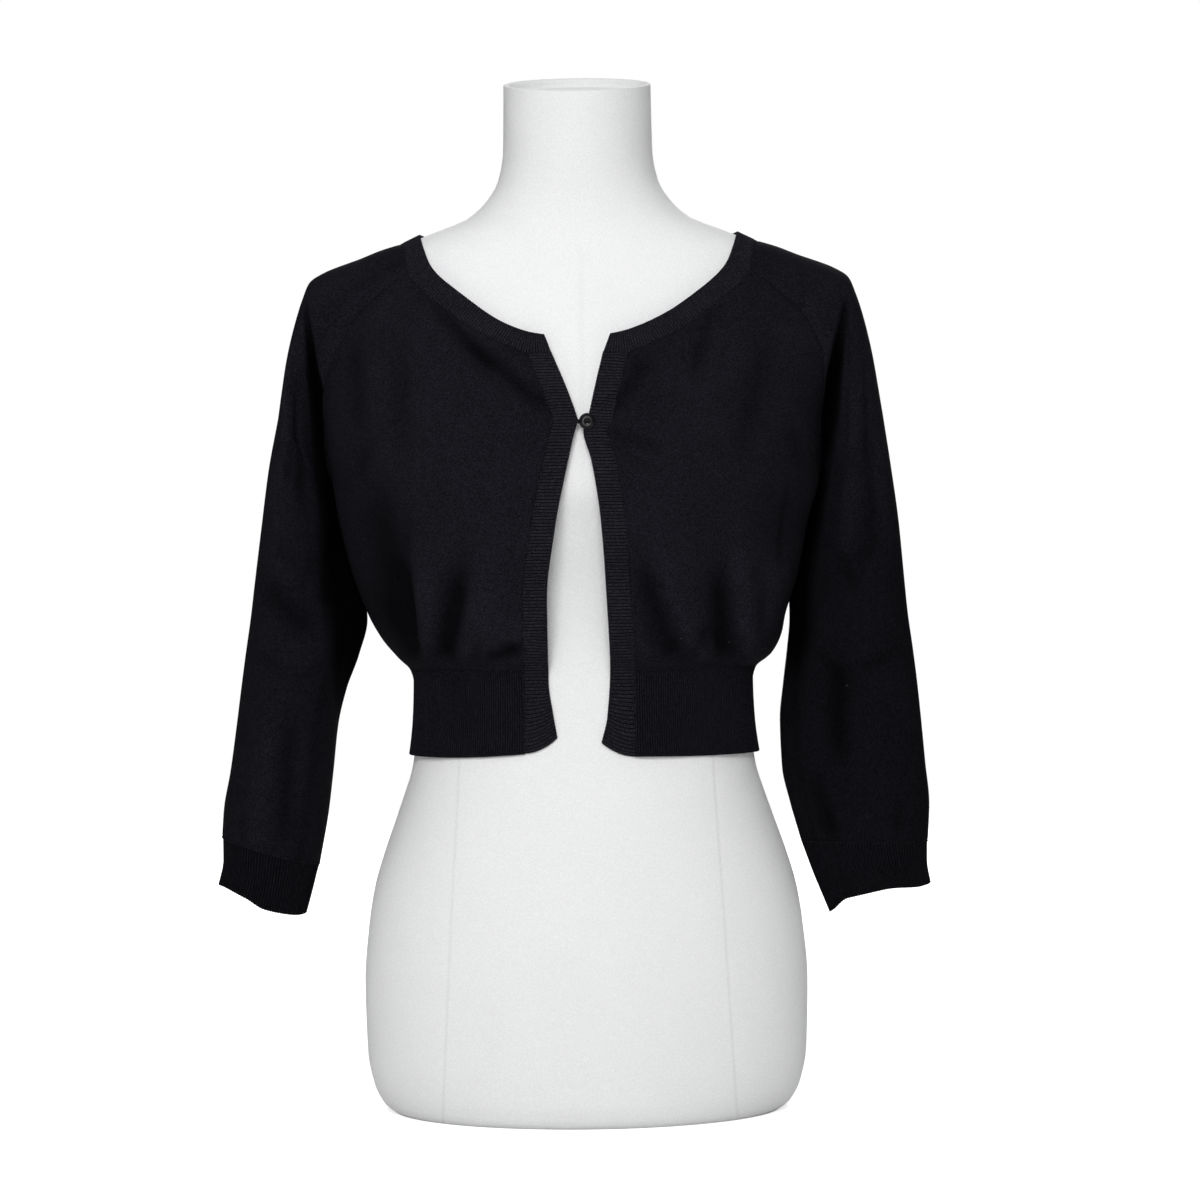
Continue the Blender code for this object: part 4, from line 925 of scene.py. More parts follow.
def cloth_wall(name, outer, normals, reach, material, uv, painted_shading, thickness=CLOTH, rib=None):
    """A closed wall with rounded edges, which reach so far past its rows and columns."""
    rows, columns = outer.shape[:2]
    middle = outer - normals * (thickness / 2)
    padded = np.zeros((rows + 2, columns + 2, 3))
    padded[1:-1, 1:-1] = outer
    edges = (
        ((0, slice(1, -1)), middle[0], middle[1]),
        ((-1, slice(1, -1)), middle[-1], middle[-2]),
        ((slice(1, -1), 0), middle[:, 0], middle[:, 1]),
        ((slice(1, -1), -1), middle[:, -1], middle[:, -2]),
    )
    lift = np.zeros_like(padded)
    lift[1:-1, 1:-1] = normals
    for (place, edge, beside), how_far in zip(edges, reach):
        away = unit(edge - beside)
        padded[place] = edge + away * how_far
        lift[place] = away * ROUNDED
    for i in (0, -1):
        for j in (0, -1):
            padded[i, j] = (padded[i, 1 if j == 0 else -2] + padded[1 if i == 0 else -2, j]) / 2
    outside = np.arange((rows + 2) * (columns + 2)).reshape(rows + 2, columns + 2)
    inside = outside.copy()
    inside[1:-1, 1:-1] = outside.size + np.arange(rows * columns).reshape(rows, columns)
    faces = np.concatenate([quads(outside), quads(inside)[:, ::-1]])
    i, j = rows // 2, columns // 2
    turn = np.cross(outer[i + 1, j] - outer[i, j], outer[i + 1, j + 1] - outer[i + 1, j])
    if turn @ normals[i, j] < 0:
        faces = faces[:, ::-1]
    points = np.concatenate([padded.reshape(-1, 3), (outer - normals * thickness).reshape(-1, 3)])
    mesh = bpy.data.meshes.new(name)
    mesh.from_pydata(points.tolist(), [], faces.tolist())
    mesh.materials.append(material)
    mesh.shade_smooth()
    corners = on_both(uv, uv)[faces.reshape(-1)].astype(np.float32)
    mesh.uv_layers.new(name="cloth_metres").data.foreach_set("uv", corners.reshape(-1))
    # painted shading for every point, by which the finish darkens or lightens the colour
    write_attribute(mesh, "painted_shading", on_both(painted_shading, painted_shading))
    if rib is not None:
        ribs = np.broadcast_to(rib, (rows, columns))
        write_attribute(mesh, "rib", on_both(ribs, ribs + INNER_RIB_SHIFT))
        lifts = np.concatenate([lift.reshape(-1, 3), -normals.reshape(-1, 3)])
        write_attribute(mesh, "lift", lifts)
    return add_object(name, mesh)


def ready(piece, node=None):
    """Hides the piece's solid if it has one, hangs the piece on the root body and prints its
    triangles.
    """
    if node:
        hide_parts(node)
    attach(piece, "root")
    piece.data.calc_loop_triangles()
    print(piece.name, len(piece.data.loop_triangles), "triangles")


print("faces in a grid of 3 by 3 points:", len(quads(np.arange(9).reshape(3, 3))))

# %% [markdown]
# ## The fronts and the back
#
# With the charts and the wall in hand, each panel is three short steps: lay the chart on the
# body, dip the sewn edges, and give the sheet its wall. The panels keep their undipped
# points too, because the sleeves and the bands are sewn to those very edges. Every sheet is
# kept under the name of its solid, and edge() reads one line of it.

# %% Make the fronts and the back
SEWN_ALL_ROUND = (1, 1, 1, 1)
SEWN_REACH = (SEAM_LAP,) * 4
WHOLE = slice(None)
BACKWARD = slice(None, None, -1)
V_PANEL = np.unique(np.append(graded(110, 0.30), SIDE_SHARE))
U_FRONT = graded(72, 0.17)
U_BACK = graded(120, 0.38)
SHEETS = {}


def edge(node, *line):
    """Points and outward directions along one line of a kept sheet's grid."""
    _, points, normals = SHEETS[node]
    return points[line], normals[line]


def knitted(node, points, normals, painted_shading):
    """A sheet of plain knitting, sewn all round, in place of its solid."""
    shown = sewn_in(points, normals, SEWN_ALL_ROUND)
    piece = cloth_wall(f"{node}_knit", shown, normals, SEWN_REACH, KNIT, metres_map(points), painted_shading)
    ready(piece, node)
    SHEETS[node] = (piece, points, normals)


def make_panel(node, chart):
    points = body(chart[..., 0], chart[..., 1])
    # painted shade in the creases' grooves, painted light on their ridges
    painted_shading = painted_shading_of(body_creases(chart[..., 0], chart[..., 1]))
    knitted(node, points, normals_of(points, from_axis), painted_shading)


for side, name in SIDES.items():
    make_panel(f"front_{name}", front_chart(side, U_FRONT, V_PANEL))
make_panel("back", back_chart(U_BACK, V_PANEL))

# %% [markdown]
# ## The raglan sleeves
#
# Above the underarm a sleeve is a row of arches, each from the front raglan seam over the
# shoulder to the back seam. Below it the arches close into a tube that leans down and out to
# the cuff. A Bezier curve makes each half of an arch: it leaves the shoulder line level and
# comes to the seam along the panel's own surface, so the two lie flush.

# %% Sleeve tables
# share, x and height of the shoulder line; how far each arch leaves it along y; and the
# way, in x, y and z, by which the arch comes to its seam, with y as at the front
SHOULDER = metres([
    (0, 136.5, 665, 28, 0, 10, 13), (0.12, 151.5, 660.5, 30, 4, 9, 14), (0.25, 168, 654, 32, 8, 6, 15),
    (0.4, 196, 643.5, 36, 13, -1, 13), (0.5, 207, 636, 42, 18, -3, 11), (0.6, 212, 624, 49, 21, 2, 7),
    (0.72, 217.5, 606, 56, 21, 5, 4), (0.86, 224.5, 576, 61, 20, -4, 1), (1, 232, 532, 60, 12, -60, 0),
], shares=1)
# drop 1 at the underarm and 2 at the cuff seam; outer and inner edge as x and height;
# depth before and behind the middle, and where that middle lies in y; how far the inner
# edge is tucked back behind the body, and how far the wall before it leans outwards
SLEEVE = {
    -1: metres([
        (1, 232, 532, 192.4, 488, 45, 45, 0, 0, 12), (1.1, 240, 492, 183, 464, 45, 43, 0, 26, 16),
        (1.22, 246, 448, 174.5, 432, 45, 42, -1, 33, 18),
        (1.34, 251.5, 406, 170.5, 401, 44, 41, -2, 24, 12),
        (1.42, 255, 378, 166.5, 376, 43, 40, -3, 12, 4), (1.5, 259, 351, 172.5, 350, 42, 40, -4, 3, 0),
        (1.58, 262.5, 325, 182, 324, 41, 40, -5, 0, 0), (1.68, 266, 298, 188.5, 297, 41, 40, -6, 0, 0),
        (1.8, 271, 262, 192.5, 261, 41, 39, -8, 0, 0), (1.9, 276, 235, 196.5, 229, 40, 37, -9, 0, 0),
        (2, 277.8, 212, 203.5, 190.5, 36, 34, -10, 0, 0),
    ], shares=1),
    1: metres([
        (1, 232, 532, 183.3, 488, 45, 45, 0, 0, 12), (1.1, 238, 492, 173.5, 464, 44, 43, 0, 26, 16),
        (1.22, 243.8, 448, 164.5, 432, 42, 41, 0, 33, 18),
        (1.34, 247.5, 406, 160.5, 401, 38, 37, -1, 24, 12),
        (1.42, 250, 378, 160, 376, 35, 34, -2, 12, 4), (1.5, 253.5, 351, 157, 350, 32, 31, -3, 3, 0),
        (1.58, 256.5, 325, 153.5, 324, 29, 29, -4, 0, 0),
        (1.68, 259, 298, 150.8, 297, 27, 27, -5, 0, 0), (1.8, 262, 262, 152, 261, 26, 26, -6, 0, 0),
        (1.9, 264.5, 233, 158, 233, 27, 27, -7, 0, 0), (2, 263, 203, 166, 204, 26, 26, -8, 0, 0),
    ], shares=1),
}
# distance round the sleeve from its outside, -140 at the front seam and 140 at the back
# seam, and height at each end, then half width and depth; the fine ones are on both sleeves
FINE_SLEEVE_CREASES = metres([
    (-42, 440, -72.8, 418, 5, -1.2), (-33.6, 352, -67.2, 334, 5, -1.4),
    (-92.4, 430, -72.8, 400, 5, -1.4), (-100.8, 350, -77, 330, 5, -1.2),
    (-42, 236, -47.6, 212, 4, -1.2), (-95.2, 236, -92.4, 210, 4, -1.2), (33.6, 436, 70, 412, 5, -1.4),
    (86.8, 356, 61.6, 338, 5, -1.2), (39.2, 238, 42, 212, 4, -1.2),
])
SLEEVE_CREASES = {
    -1: metres([
        (-86.8, 560, -81.2, 470, 10, -3.6), (-56, 600, -50.4, 500, 9, 3.5),
        (-67.2, 540, -58.8, 480, 8, -3), (-112, 450, -98, 385, 10, -4.5),
        (-77, 320, -84, 210, 8, -2.4), (-53.2, 310, -58.8, 210, 8, 2.4), (-28, 410, -77, 370, 12, -3),
        (63, 560, 77, 470, 10, -4.5), (42, 420, 84, 375, 11, -4), (70, 300, 63, 225, 9, -4.5),
    ]),
    1: metres([
        (-84, 600, -92.4, 560, 8, -2), (-56, 590, -58.8, 430, 10, -2.6),
        (-86.8, 590, -84, 430, 8, 3.2), (-79.8, 352, -79.8, 270, 8, -2.6),
        (-100.8, 262, -98, 208, 7, -2), (63, 560, 77, 470, 10, -4.5), (49, 400, 84, 360, 11, -4),
        (70, 280, 67.2, 215, 9, -4),
    ]),
}
# the deep fold that parts each arm from the chest, from the gap beside the waist up to the
# shoulder: height, outer and inner edge in x, depth
ARM_FOLD = {
    -1: metres([
        (295, 193, 172, 0), (310, 193.5, 169, 6), (330, 194, 165, 12), (358, 195.5, 153, 16),
        (381, 197, 148, 18), (422.4, 199.5, 160, 20), (458, 201.5, 170, 23), (500, 204, 179, 26),
        (539, 206, 188, 24), (560, 206.8, 196, 20), (588.5, 207.4, 200.5, 12), (607, 208.5, 203.5, 6),
        (620, 209.5, 205.5, 0),
    ]),
    1: metres([
        (285, 159, 144, 0), (305, 163, 140, 6), (323, 167, 138, 10), (338, 171.5, 139, 14),
        (366, 177.5, 142, 18), (401, 178.5, 148, 20), (438, 184.5, 156, 22), (472, 189, 164, 24),
        (500, 193, 172, 26), (523.6, 196.5, 179, 24), (553.7, 199.5, 185, 20), (585, 202, 192, 12),
        (608.3, 204.5, 198.5, 6), (620, 205.5, 201, 0),
    ]),
}
UNDERARM_EASE = 0.0002
SLEEVE_SHADE = {-1: 0.38, 1: 0.68}
HALF_GIRTH = 0.14
print("sleeve sections:", {SIDES[side]: len(rows) for side, rows in SLEEVE.items()})


# %% Sleeve surface
def half_arch(crown, lean, push, foot, t):
    """Points from the crown, leaving along y, to the foot, arriving from foot + push."""
    t = t[:, None]
    away = crown + np.array([0, lean, 0])
    return (
        crown * (1 - t) ** 3
        + 3 * away * t * (1 - t) ** 2
        + 3 * (foot + push) * t * t * (1 - t)
        + foot * t**3
    )


def whole_arch(crown, front, back, t):
    """From the front foot over the crown to the back one; each side is lean, push and foot."""
    before, behind = (half_arch(crown, *way, t) for way in (front, back))
    return np.concatenate([before[::-1], behind[1:]])


def tube_ring(sizes, side, t):
    """One closed round of a sleeve, from its inner edge past the front, outside and back."""
    outer_x, outer_z, inner_x, inner_z, front, back, middle, tuck, lean = sizes
    crown = np.array([side * outer_x, middle, outer_z])
    foot = np.array([side * inner_x, middle + tuck, inner_z])
    front, back = front * 4 / 3, back * 4 / 3
    before = (-front, np.array([side * lean, -front, 0]), foot)
    return whole_arch(crown, before, (back, np.array([0, back, 0]), foot), t)


def sleeve_points(side, before, behind, shares, drops, t):
    """Arches from seam to seam down to the underarm, then rounds down to the cuff."""
    rows = []
    for i, share in enumerate(shares):
        x, z, reach, push_x, push_y, push_z = smooth(SHOULDER, share)
        lift = UNDERARM_EASE * ramp(share)
        feet = [points[i] + normals[i] * lift for points, normals in (before, behind)]
        pushes = [np.array([side * push_x, sign * push_y, push_z]) for sign in (1, -1)]
        ways = zip((-reach, reach), pushes, feet)
        rows.append(whole_arch(np.array([side * x, 0.0, z]), *ways, t))
    for drop in drops:
        rows.append(tube_ring(smooth(SLEEVE[side], drop), side, t))
    return np.array(rows)


def sleeve_normals(points, side, arches):
    """Open arches above the underarm and closed rounds below it."""
    outside = lambda point: np.array([side, 0.0, 0.0])
    normals = normals_of(points, outside)
    closed = normals_of(points[arches:], outside, wrap=True)
    normals[arches + 1 :] = closed[1:]
    normals[arches, 1:-1] = closed[0, 1:-1]
    normals[arches, [0, -1]] = unit(closed[1, 0] + closed[1, -1])
    return normals


elbow = tube_ring(smooth(SLEEVE[-1], 1.5), -1, np.linspace(0, 1, 49))
print("right sleeve at the elbow:", round(run_along(elbow)[-1], 3), "m round")

# %% Sleeve creases
FOLD_EASE = (0.3, 0.22)
FOLD_ROOM = 0.42
FOLD_SHADE_DEPTH = 0.012
FOLD_SHADE_MOST = 1.3
FOLD_SEAM_EASE = 0.05
FOLD_BEHIND = -0.7
SEAM_EASE = 0.2
FOREARM = 0.54
FOREARM_EASE = 0.16


def arm_fold_depth(points, side):
    """How far the fold beside the chest pushes each point back, and the painted shade in it."""
    outer, inner, depth = np.moveaxis(smooth(ARM_FOLD[side], points[..., 2]), -1, 0)
    place = (side * points[..., 0] - inner) / (outer - inner)
    within = ramp(place / FOLD_EASE[0]) * ramp((1 - place) / FOLD_EASE[1])
    around = np.linspace(-1, 1, points.shape[1])[None, :]
    within = within * ramp((1 - np.abs(around)) / FOLD_SEAM_EASE)
    room = np.maximum(np.abs(points[:, ::-1, 1] - points[..., 1]), 0)
    shade = within * np.clip(depth / FOLD_SHADE_DEPTH, 0, FOLD_SHADE_MOST)
    return np.minimum(depth * within, FOLD_ROOM * room), shade


def crease_sleeve(points, normals, side):
    """The sleeve with its creases, and how much each point lies in shade."""
    around = np.linspace(-1, 1, points.shape[1])[None, :] + 0 * points[..., 0]
    creases = np.concatenate([SLEEVE_CREASES[side], FINE_SLEEVE_CREASES])
    depth = crease_depth(creases, around * HALF_GIRTH, points[..., 2])
    depth = depth * ramp((1 - np.abs(around)) / SEAM_EASE)
    back_by, shade = arm_fold_depth(points, side)
    moved = points + normals * depth[..., None]
    moved[..., 1] += np.where(around < 0, back_by, FOLD_BEHIND * back_by)
    # painted shade: the lower sleeve is darker, the wearer's left one more, as it turns from the light
    turned_away = SLEEVE_SHADE[side] * ramp((FOREARM - points[..., 2]) / FOREARM_EASE)
    return moved, np.maximum(painted_shading_of(depth) + turned_away, shade)


print("sleeve creases:", {SIDES[side]: len(rows) for side, rows in SLEEVE_CREASES.items()})

# %% Make the sleeves
T_SLEEVE = np.linspace(0, 1, 49)
DROPS = 1 + graded(90, 0.30)
raised = V_PANEL >= SIDE_SHARE
lower = V_PANEL <= SIDE_SHARE
above = V_PANEL > SIDE_SHARE
shares_down = (1 - (V_PANEL[above] - SIDE_SHARE) / (1 - SIDE_SHARE))[::-1]
ARCHES = len(shares_down)


def make_sleeve(side):
    before = [line[::-1] for line in edge(f"front_{SIDES[side]}", above, 0)]
    behind = [line[::-1] for line in edge("back", above, 0 if side > 0 else -1)]
    points = sleeve_points(side, before, behind, shares_down, DROPS, T_SLEEVE)
    points, painted_shading = crease_sleeve(points, sleeve_normals(points, side, ARCHES), side)
    points[ARCHES, [0, -1]] += [side * UNDERARM_EASE, 0, 0]
    normals = sleeve_normals(points, side, ARCHES)
    for column, beside in ((0, before[1]), (-1, behind[1])):
        alike = (normals[:ARCHES, column] * beside).sum(-1, keepdims=True) > 0.5
        joined = unit(normals[:ARCHES, column] + beside)
        normals[:ARCHES, column] = np.where(alike, joined, normals[:ARCHES, column])
    knitted(f"sleeve_{SIDES[side]}", points, normals, painted_shading)


for side in SIDES:
    make_sleeve(side)

# %% [markdown]
# ## Ribs by Geometry Nodes
#
# Ribbing is a row of rounded ridges with narrow valleys, hundreds of them at one even pitch.
# That is a rule, so one Geometry Nodes tree makes it for every band. The strip comes in with
# two attributes: how many ribs lie before each point, and which way a rib may rise there.
# The tree raises each point by the absolute sine of its rib count, which has round tops and
# sharp valleys. The inner face is offset by half a rib, as it is in real one-by-one ribbing.

# %% Build the rib tree
RIB_HEIGHT = 0.0006
RIB_SINK = 0.55
RIB_ROUNDNESS = 0.8


def geometry_tree(name, inputs):
    """A Geometry Nodes tree with these inputs between its geometry and its material."""
    sockets = {"Geometry": "Geometry", **inputs, "Material": "Material"}
    return new_tree("GeometryNodeTree", name, sockets, {"Geometry": "Geometry"})


def named_attribute(tree, name, kind):
    node = add_node(tree, "GeometryNodeInputNamedAttribute", {"data_type": kind}, Name=name)
    return node.outputs["Attribute"]


def finish_tree(tree, geometry, given, made):
    """The last two steps of every tree: real copies, then the material."""
    real = add_node(tree, "GeometryNodeRealizeInstances", Geometry=geometry).outputs[0]
    paint = add_node(tree, "GeometryNodeSetMaterial", Geometry=real, Material=given["Material"])
    tree.links.new(paint.outputs[0], made["Geometry"])
    return tree


def build_ribs():
    tree, given, made = geometry_tree("raise_ribs", {"Rib Height": "Float", "Sink": "Float"})
    turns = calc(tree, "MULTIPLY", named_attribute(tree, "rib", "FLOAT"), math.pi)
    ridge = calc(tree, "ABSOLUTE", calc(tree, "SINE", turns))
    rounded = calc(tree, "POWER", ridge, RIB_ROUNDNESS)
    height = calc(tree, "MULTIPLY", rounded, given["Rib Height"])
    height = calc(tree, "SUBTRACT", height, given["Sink"])
    offset = scaled(tree, named_attribute(tree, "lift", "FLOAT_VECTOR"), height)
    move = add_node(tree, "GeometryNodeSetPosition", Geometry=given["Geometry"], Offset=offset)
    return finish_tree(tree, move.outputs[0], given, made)


def grow(obj, tree, **values):
    """Runs the tree on the object and keeps the result as its own plain mesh."""
    modifier = obj.modifiers.new(tree.name, "NODES")
    modifier.node_group = tree
    sockets = {s.name: s.identifier for s in tree.interface.items_tree if s.in_out == "INPUT"}
    for label, value in values.items():
        modifier[sockets[label.replace("_", " ")]] = value
    graph = bpy.context.evaluated_depsgraph_get()
    mesh = bpy.data.meshes.new_from_object(obj.evaluated_get(graph))
    obj.modifiers.clear()
    obj.data = mesh
    mesh.name = obj.name
    for extra in ("rib", "lift"):
        if extra in mesh.attributes:
            mesh.attributes.remove(mesh.attributes[extra])


RIB_TREE = build_ribs()
print(RIB_TREE.name, len(RIB_TREE.nodes), "nodes")

# %% [markdown]
# ## A ribbed strip
#
# Every band starts as two or more long lines of points. They are read again in even steps,
# eight to a rib, so that the pitch stays the same all the way, and the rows between the two
# edges crowd near the edges, where the cloth rounds over.

# %% Ribbed strip helper
RIB_STEPS = 8
RIB_THICKNESS = 0.0016
FREE_REACH = 0.0005


def even_shares(line, pitch):
    """Shares of a line of points, from 0 to 1, that cut it in even steps, eight to a rib."""
    along = run_along(line)
    ribs = max(2, round(along[-1] / pitch))
    even = np.linspace(0, along[-1], ribs * RIB_STEPS + 1)
    return np.interp(even, along, np.linspace(0, 1, len(line))), ribs


def each_axis(at, keys, line):
    """A line of points read at these places between its keys, along straight pieces."""
    return np.stack([np.interp(at, keys, line[:, k]) for k in range(3)], axis=-1)


def ribbed_strip(node, points, normals, ribs, pitch, sewn, shade=0.0, reach=None):
    """A band with its ribs across it; columns run along the band, rows from edge to edge."""
    rib = np.linspace(0, ribs, points.shape[1])[None, :]
    across = run_along(points)
    uv = np.stack([rib * pitch + 0 * across, across], axis=-1)
    shown = sewn_in(points, normals, sewn)
    # an even painted shade over the whole strip
    painted_shading = np.full(points.shape[:2], shade)
    reach = reach or [SEAM_LAP if held else FREE_REACH for held in sewn]
    finish = RIBBED[pitch]
    strip = cloth_wall(f"{node}_rib", shown, normals, reach, finish, uv, painted_shading, RIB_THICKNESS, rib)
    grow(strip, RIB_TREE, Rib_Height=RIB_HEIGHT, Sink=RIB_HEIGHT * RIB_SINK, Material=finish)
    ready(strip, node)
    SHEETS[node] = (strip, points, normals)
    print(node, ribs, "ribs")


print("rib steps:", RIB_STEPS)

# %% [markdown]
# ## The front bands and the waistband
#
# The front bands are knitted sideways, so their ribs lie level, and they are cut to the
# front's own edge. The waistband's ribs stand upright. Both lie on the same rings as the
# panels, a little tighter where the band draws the body in.

# %% Make the front bands
ACROSS_BAND = np.array([0, 0.03, 0.08, 0.16, 0.3, 0.5, 0.7, 0.84, 0.92, 0.97, 1.0])
# height of each band's foot at its free corner and at its seam: the corners curl upwards
BAND_FEET = {-1: (0.2885, 0.2775), 1: (0.2845, 0.2745)}
FOOT_CURL = 0.045
BAND_POINTS = 400


def front_band(node, side):
    tall = np.linspace(BAND_FOOT, NECKLINE_FRONT_CORNER, BAND_POINTS)
    shares, ribs = even_shares(body(angle_at(free_edge(side, tall), tall), tall), BAND_RIB)
    heights = np.interp(shares, np.linspace(0, 1, len(tall)), tall)
    free = free_edge(side, heights)
    across = free + (band_seam(side, heights) - free) * ACROSS_BAND[:, None]
    corner, sewn = BAND_FEET[side]
    foot = sewn + (corner - sewn) * (1 - ACROSS_BAND[:, None]) ** 2
    level = heights + (foot - BAND_FOOT) * (1 - ramp((heights - BAND_FOOT) / FOOT_CURL))
    points = body(angle_at(across, level), level)
    ribbed_strip(node, points, normals_of(points, from_axis), ribs, BAND_RIB, (0, 1, 0, 1))


for side, name in SIDES.items():
    front_band(f"front_band_{name}", side)

# %% Make the waistband
HEM = 0.2735
HEM_RISE_AT_FRONT = {-1: 0.0040, 1: 0.0010}
HEM_WAVE = 0.0012
# size, waves round the waist and where they start
HEM_WAVES = ((0.6, 5, 1.0), (0.4, 13, 2.0))
WAIST_POINTS = 1200
DOWN_WAISTBAND = np.array(
    [0, 0.012, 0.03, 0.06, 0.12, 0.2, 0.35, 0.5, 0.65, 0.8, 0.9, 0.95, 0.98, 1.0]
)


def band_ends(height):
    """The ring angles where the waistband starts and ends, at the two front bands' seams."""
    start, end = (angle_at(band_seam(side, height), height) for side in (1, -1))
    return start, 2 * math.pi + end


def waistband():
    share = np.linspace(0, 1, WAIST_POINTS)
    start, end = band_ends(np.array(WAIST_SEAM))
    around = body(start + (end - start) * share, WAIST_SEAM + 0 * share)
    shares, ribs = even_shares(around, WAIST_RIB)
    down = DOWN_WAISTBAND[:, None]
    heights = WAIST_SEAM + (HEM - WAIST_SEAM) * down
    starts, ends = band_ends(heights)
    angles = starts + (ends - starts) * shares
    near_front = np.maximum(np.cos(angles), 0) ** 8 / np.cos(starts[-1]) ** 8
    rise = np.where(np.sin(angles) > 0, HEM_RISE_AT_FRONT[1], HEM_RISE_AT_FRONT[-1])
    points = body(angles, heights + rise * near_front * down)
    normals = normals_of(points, from_axis)
    wave = sum((size * np.sin(turns * angles + start) for size, turns, start in HEM_WAVES), 1)
    points = points + normals * (HEM_WAVE * wave * down**3)[..., None]
    ribbed_strip("waistband", points, normals, ribs, WAIST_RIB, (1, 0, 1, 1))


waistband()

# %% [markdown]
# ## The neckband
#
# One strip runs along the whole neckline: up the right front, over both sleeve tops and the
# back, and down the left front. Its lower edge is the chain of those pieces' own top edges.
# Its direction changes at each of them, so the directions are averaged along the line before
# the band's upper edge is measured off from it. It stays clear of the form it leans on.

# %% Follow the neckline
NECK_STEP = 0.0029
SAME_POINT = 1e-6
FACING_ROUNDS = 12
ALONG_ROUNDS = 6


def averaged(vectors, times):
    for _ in range(times):
        vectors[1:-1] = unit(vectors[:-2] + 2 * vectors[1:-1] + vectors[2:])
    return vectors


def neckline():
    """The neckline's points and outward directions in even steps, from right front to left."""
    runs = (
        edge("front_band_right", WHOLE, -1),
        edge("front_right", -1, BACKWARD),
        edge("sleeve_right", 0),
        edge("back", -1, BACKWARD),
        edge("sleeve_left", 0, BACKWARD),
        edge("front_left", -1),
        edge("front_band_left", BACKWARD, -1),
    )
    line, facing = (np.concatenate(parts) for parts in zip(*runs))
    steps = np.linalg.norm(np.diff(line, axis=0), axis=1)
    kept = np.concatenate([[True], steps > SAME_POINT])
    line, facing = line[kept], facing[kept]
    along = run_along(line)
    even = np.linspace(0, along[-1], round(along[-1] / NECK_STEP) + 1)
    facing = averaged(unit(each_axis(even, along, facing)), FACING_ROUNDS)
    return each_axis(even, along, line), facing, along[-1]


neck_line, neck_facing, neck_length = neckline()
print("neckline:", round(neck_length, 3), "m")

# %% Make the neckband
NECKBAND_WIDTH = 0.0155
FORM_GAP = 0.0010
NECK_END_TILT = 0.0055
NECK_END_RUN = 0.020
NECK_EASING = 60


def form_reach(points):
    """1 on the form's surface, less inside it and more outside."""
    sizes = smooth(FORM_SECTIONS, points[..., 2])
    depth = np.where(points[..., 1] < 0, sizes[..., 1], sizes[..., 2])
    return np.hypot(points[..., 0] / sizes[..., 0], points[..., 1] / depth)


def clear_of_form(points, step=1e-4):
    """The same points, moved straight away from the form where they are too near to it."""
    moved = points.copy()
    for _ in range(4):
        reach = form_reach(moved)
        slope = [form_reach(moved + step * axis) - reach for axis in np.eye(3)]
        slope = np.stack(slope, axis=-1) / step
        distance = (reach - 1) / np.linalg.norm(slope, axis=-1)
        short = np.maximum(RIB_THICKNESS + FORM_GAP - distance, 0)
        moved = moved + unit(slope) * short[..., None]
    return moved


def resampled(points, count):
    """The same line of points or directions at this many even places."""
    keys = np.linspace(0, 1, len(points))
    return smooth(np.column_stack([keys, points]), np.linspace(0, 1, count))


def neckband(line, facing, length):
    along = averaged(unit(np.gradient(line, axis=0)), ALONG_ROUNDS)
    across = unit(np.cross(along, facing))
    if across[len(across) // 2][2] < 0:
        across = -across
    upper = line + across * NECKBAND_WIDTH
    places = np.arange(len(line))
    from_end = np.minimum(places, places[::-1]) * NECK_STEP
    tilt = NECK_END_TILT * (1 - ramp(from_end / NECK_END_RUN))
    upper += along * np.where(places < places[-1] / 2, tilt, -tilt)[:, None]
    upper = clear_of_form(upper)
    for _ in range(NECK_EASING):
        upper[1:-1] = (upper[:-2] + 2 * upper[1:-1] + upper[2:]) / 4
    upper = clear_of_form(upper)
    ribs = round(length / NECK_RIB)
    count = ribs * RIB_STEPS + 1
    line, upper, facing = (resampled(values, count) for values in (line, upper, facing))
    points = line + (upper - line) * ACROSS_BAND[:, None, None]
    normals = np.repeat(unit(facing)[None], len(ACROSS_BAND), axis=0)
    ribbed_strip("neckband", points, normals, ribs, NECK_RIB, (1, 0, 0, 0))


neckband(neck_line, neck_facing, neck_length)

# %% [markdown]
# ## The cuffs
#
# A cuff is the sleeve's last tube drawn on in ribbing, with a seam at its inner edge where
# the strip was joined. Its hem is not a flat circle: the sleeve hangs, so the hem dips and
# swings from outer to inner edge. It hangs in the sleeve's own shade, so it is darker.

# %% Make the cuffs
# share from the cuff seam to the hem, then as for the sleeves
CUFF = {
    -1: metres([
        (0, 277.8, 212, 203.5, 190.5, 36, 34, -10, 0, 0),
        (0.06, 276.8, 210, 204.5, 188.5, 34.5, 32.5, -10, 0, 0),
        (0.45, 276.8, 194, 208.5, 173, 31, 29, -10, 0, 0),
        (1, 280.6, 172.5, 214, 151, 32, 30, -11, 0, 0),
    ], shares=1),
    1: metres([
        (0, 263, 203, 166, 204, 26, 26, -8, 0, 0), (0.06, 262.2, 201, 167, 201.5, 25, 25, -8, 0, 0),
        (0.45, 262, 187, 174.5, 181, 24.5, 24.5, -8, 0, 0),
        (1, 264.5, 168, 187, 151, 27, 27, -9, 0, 0),
    ], shares=1),
}
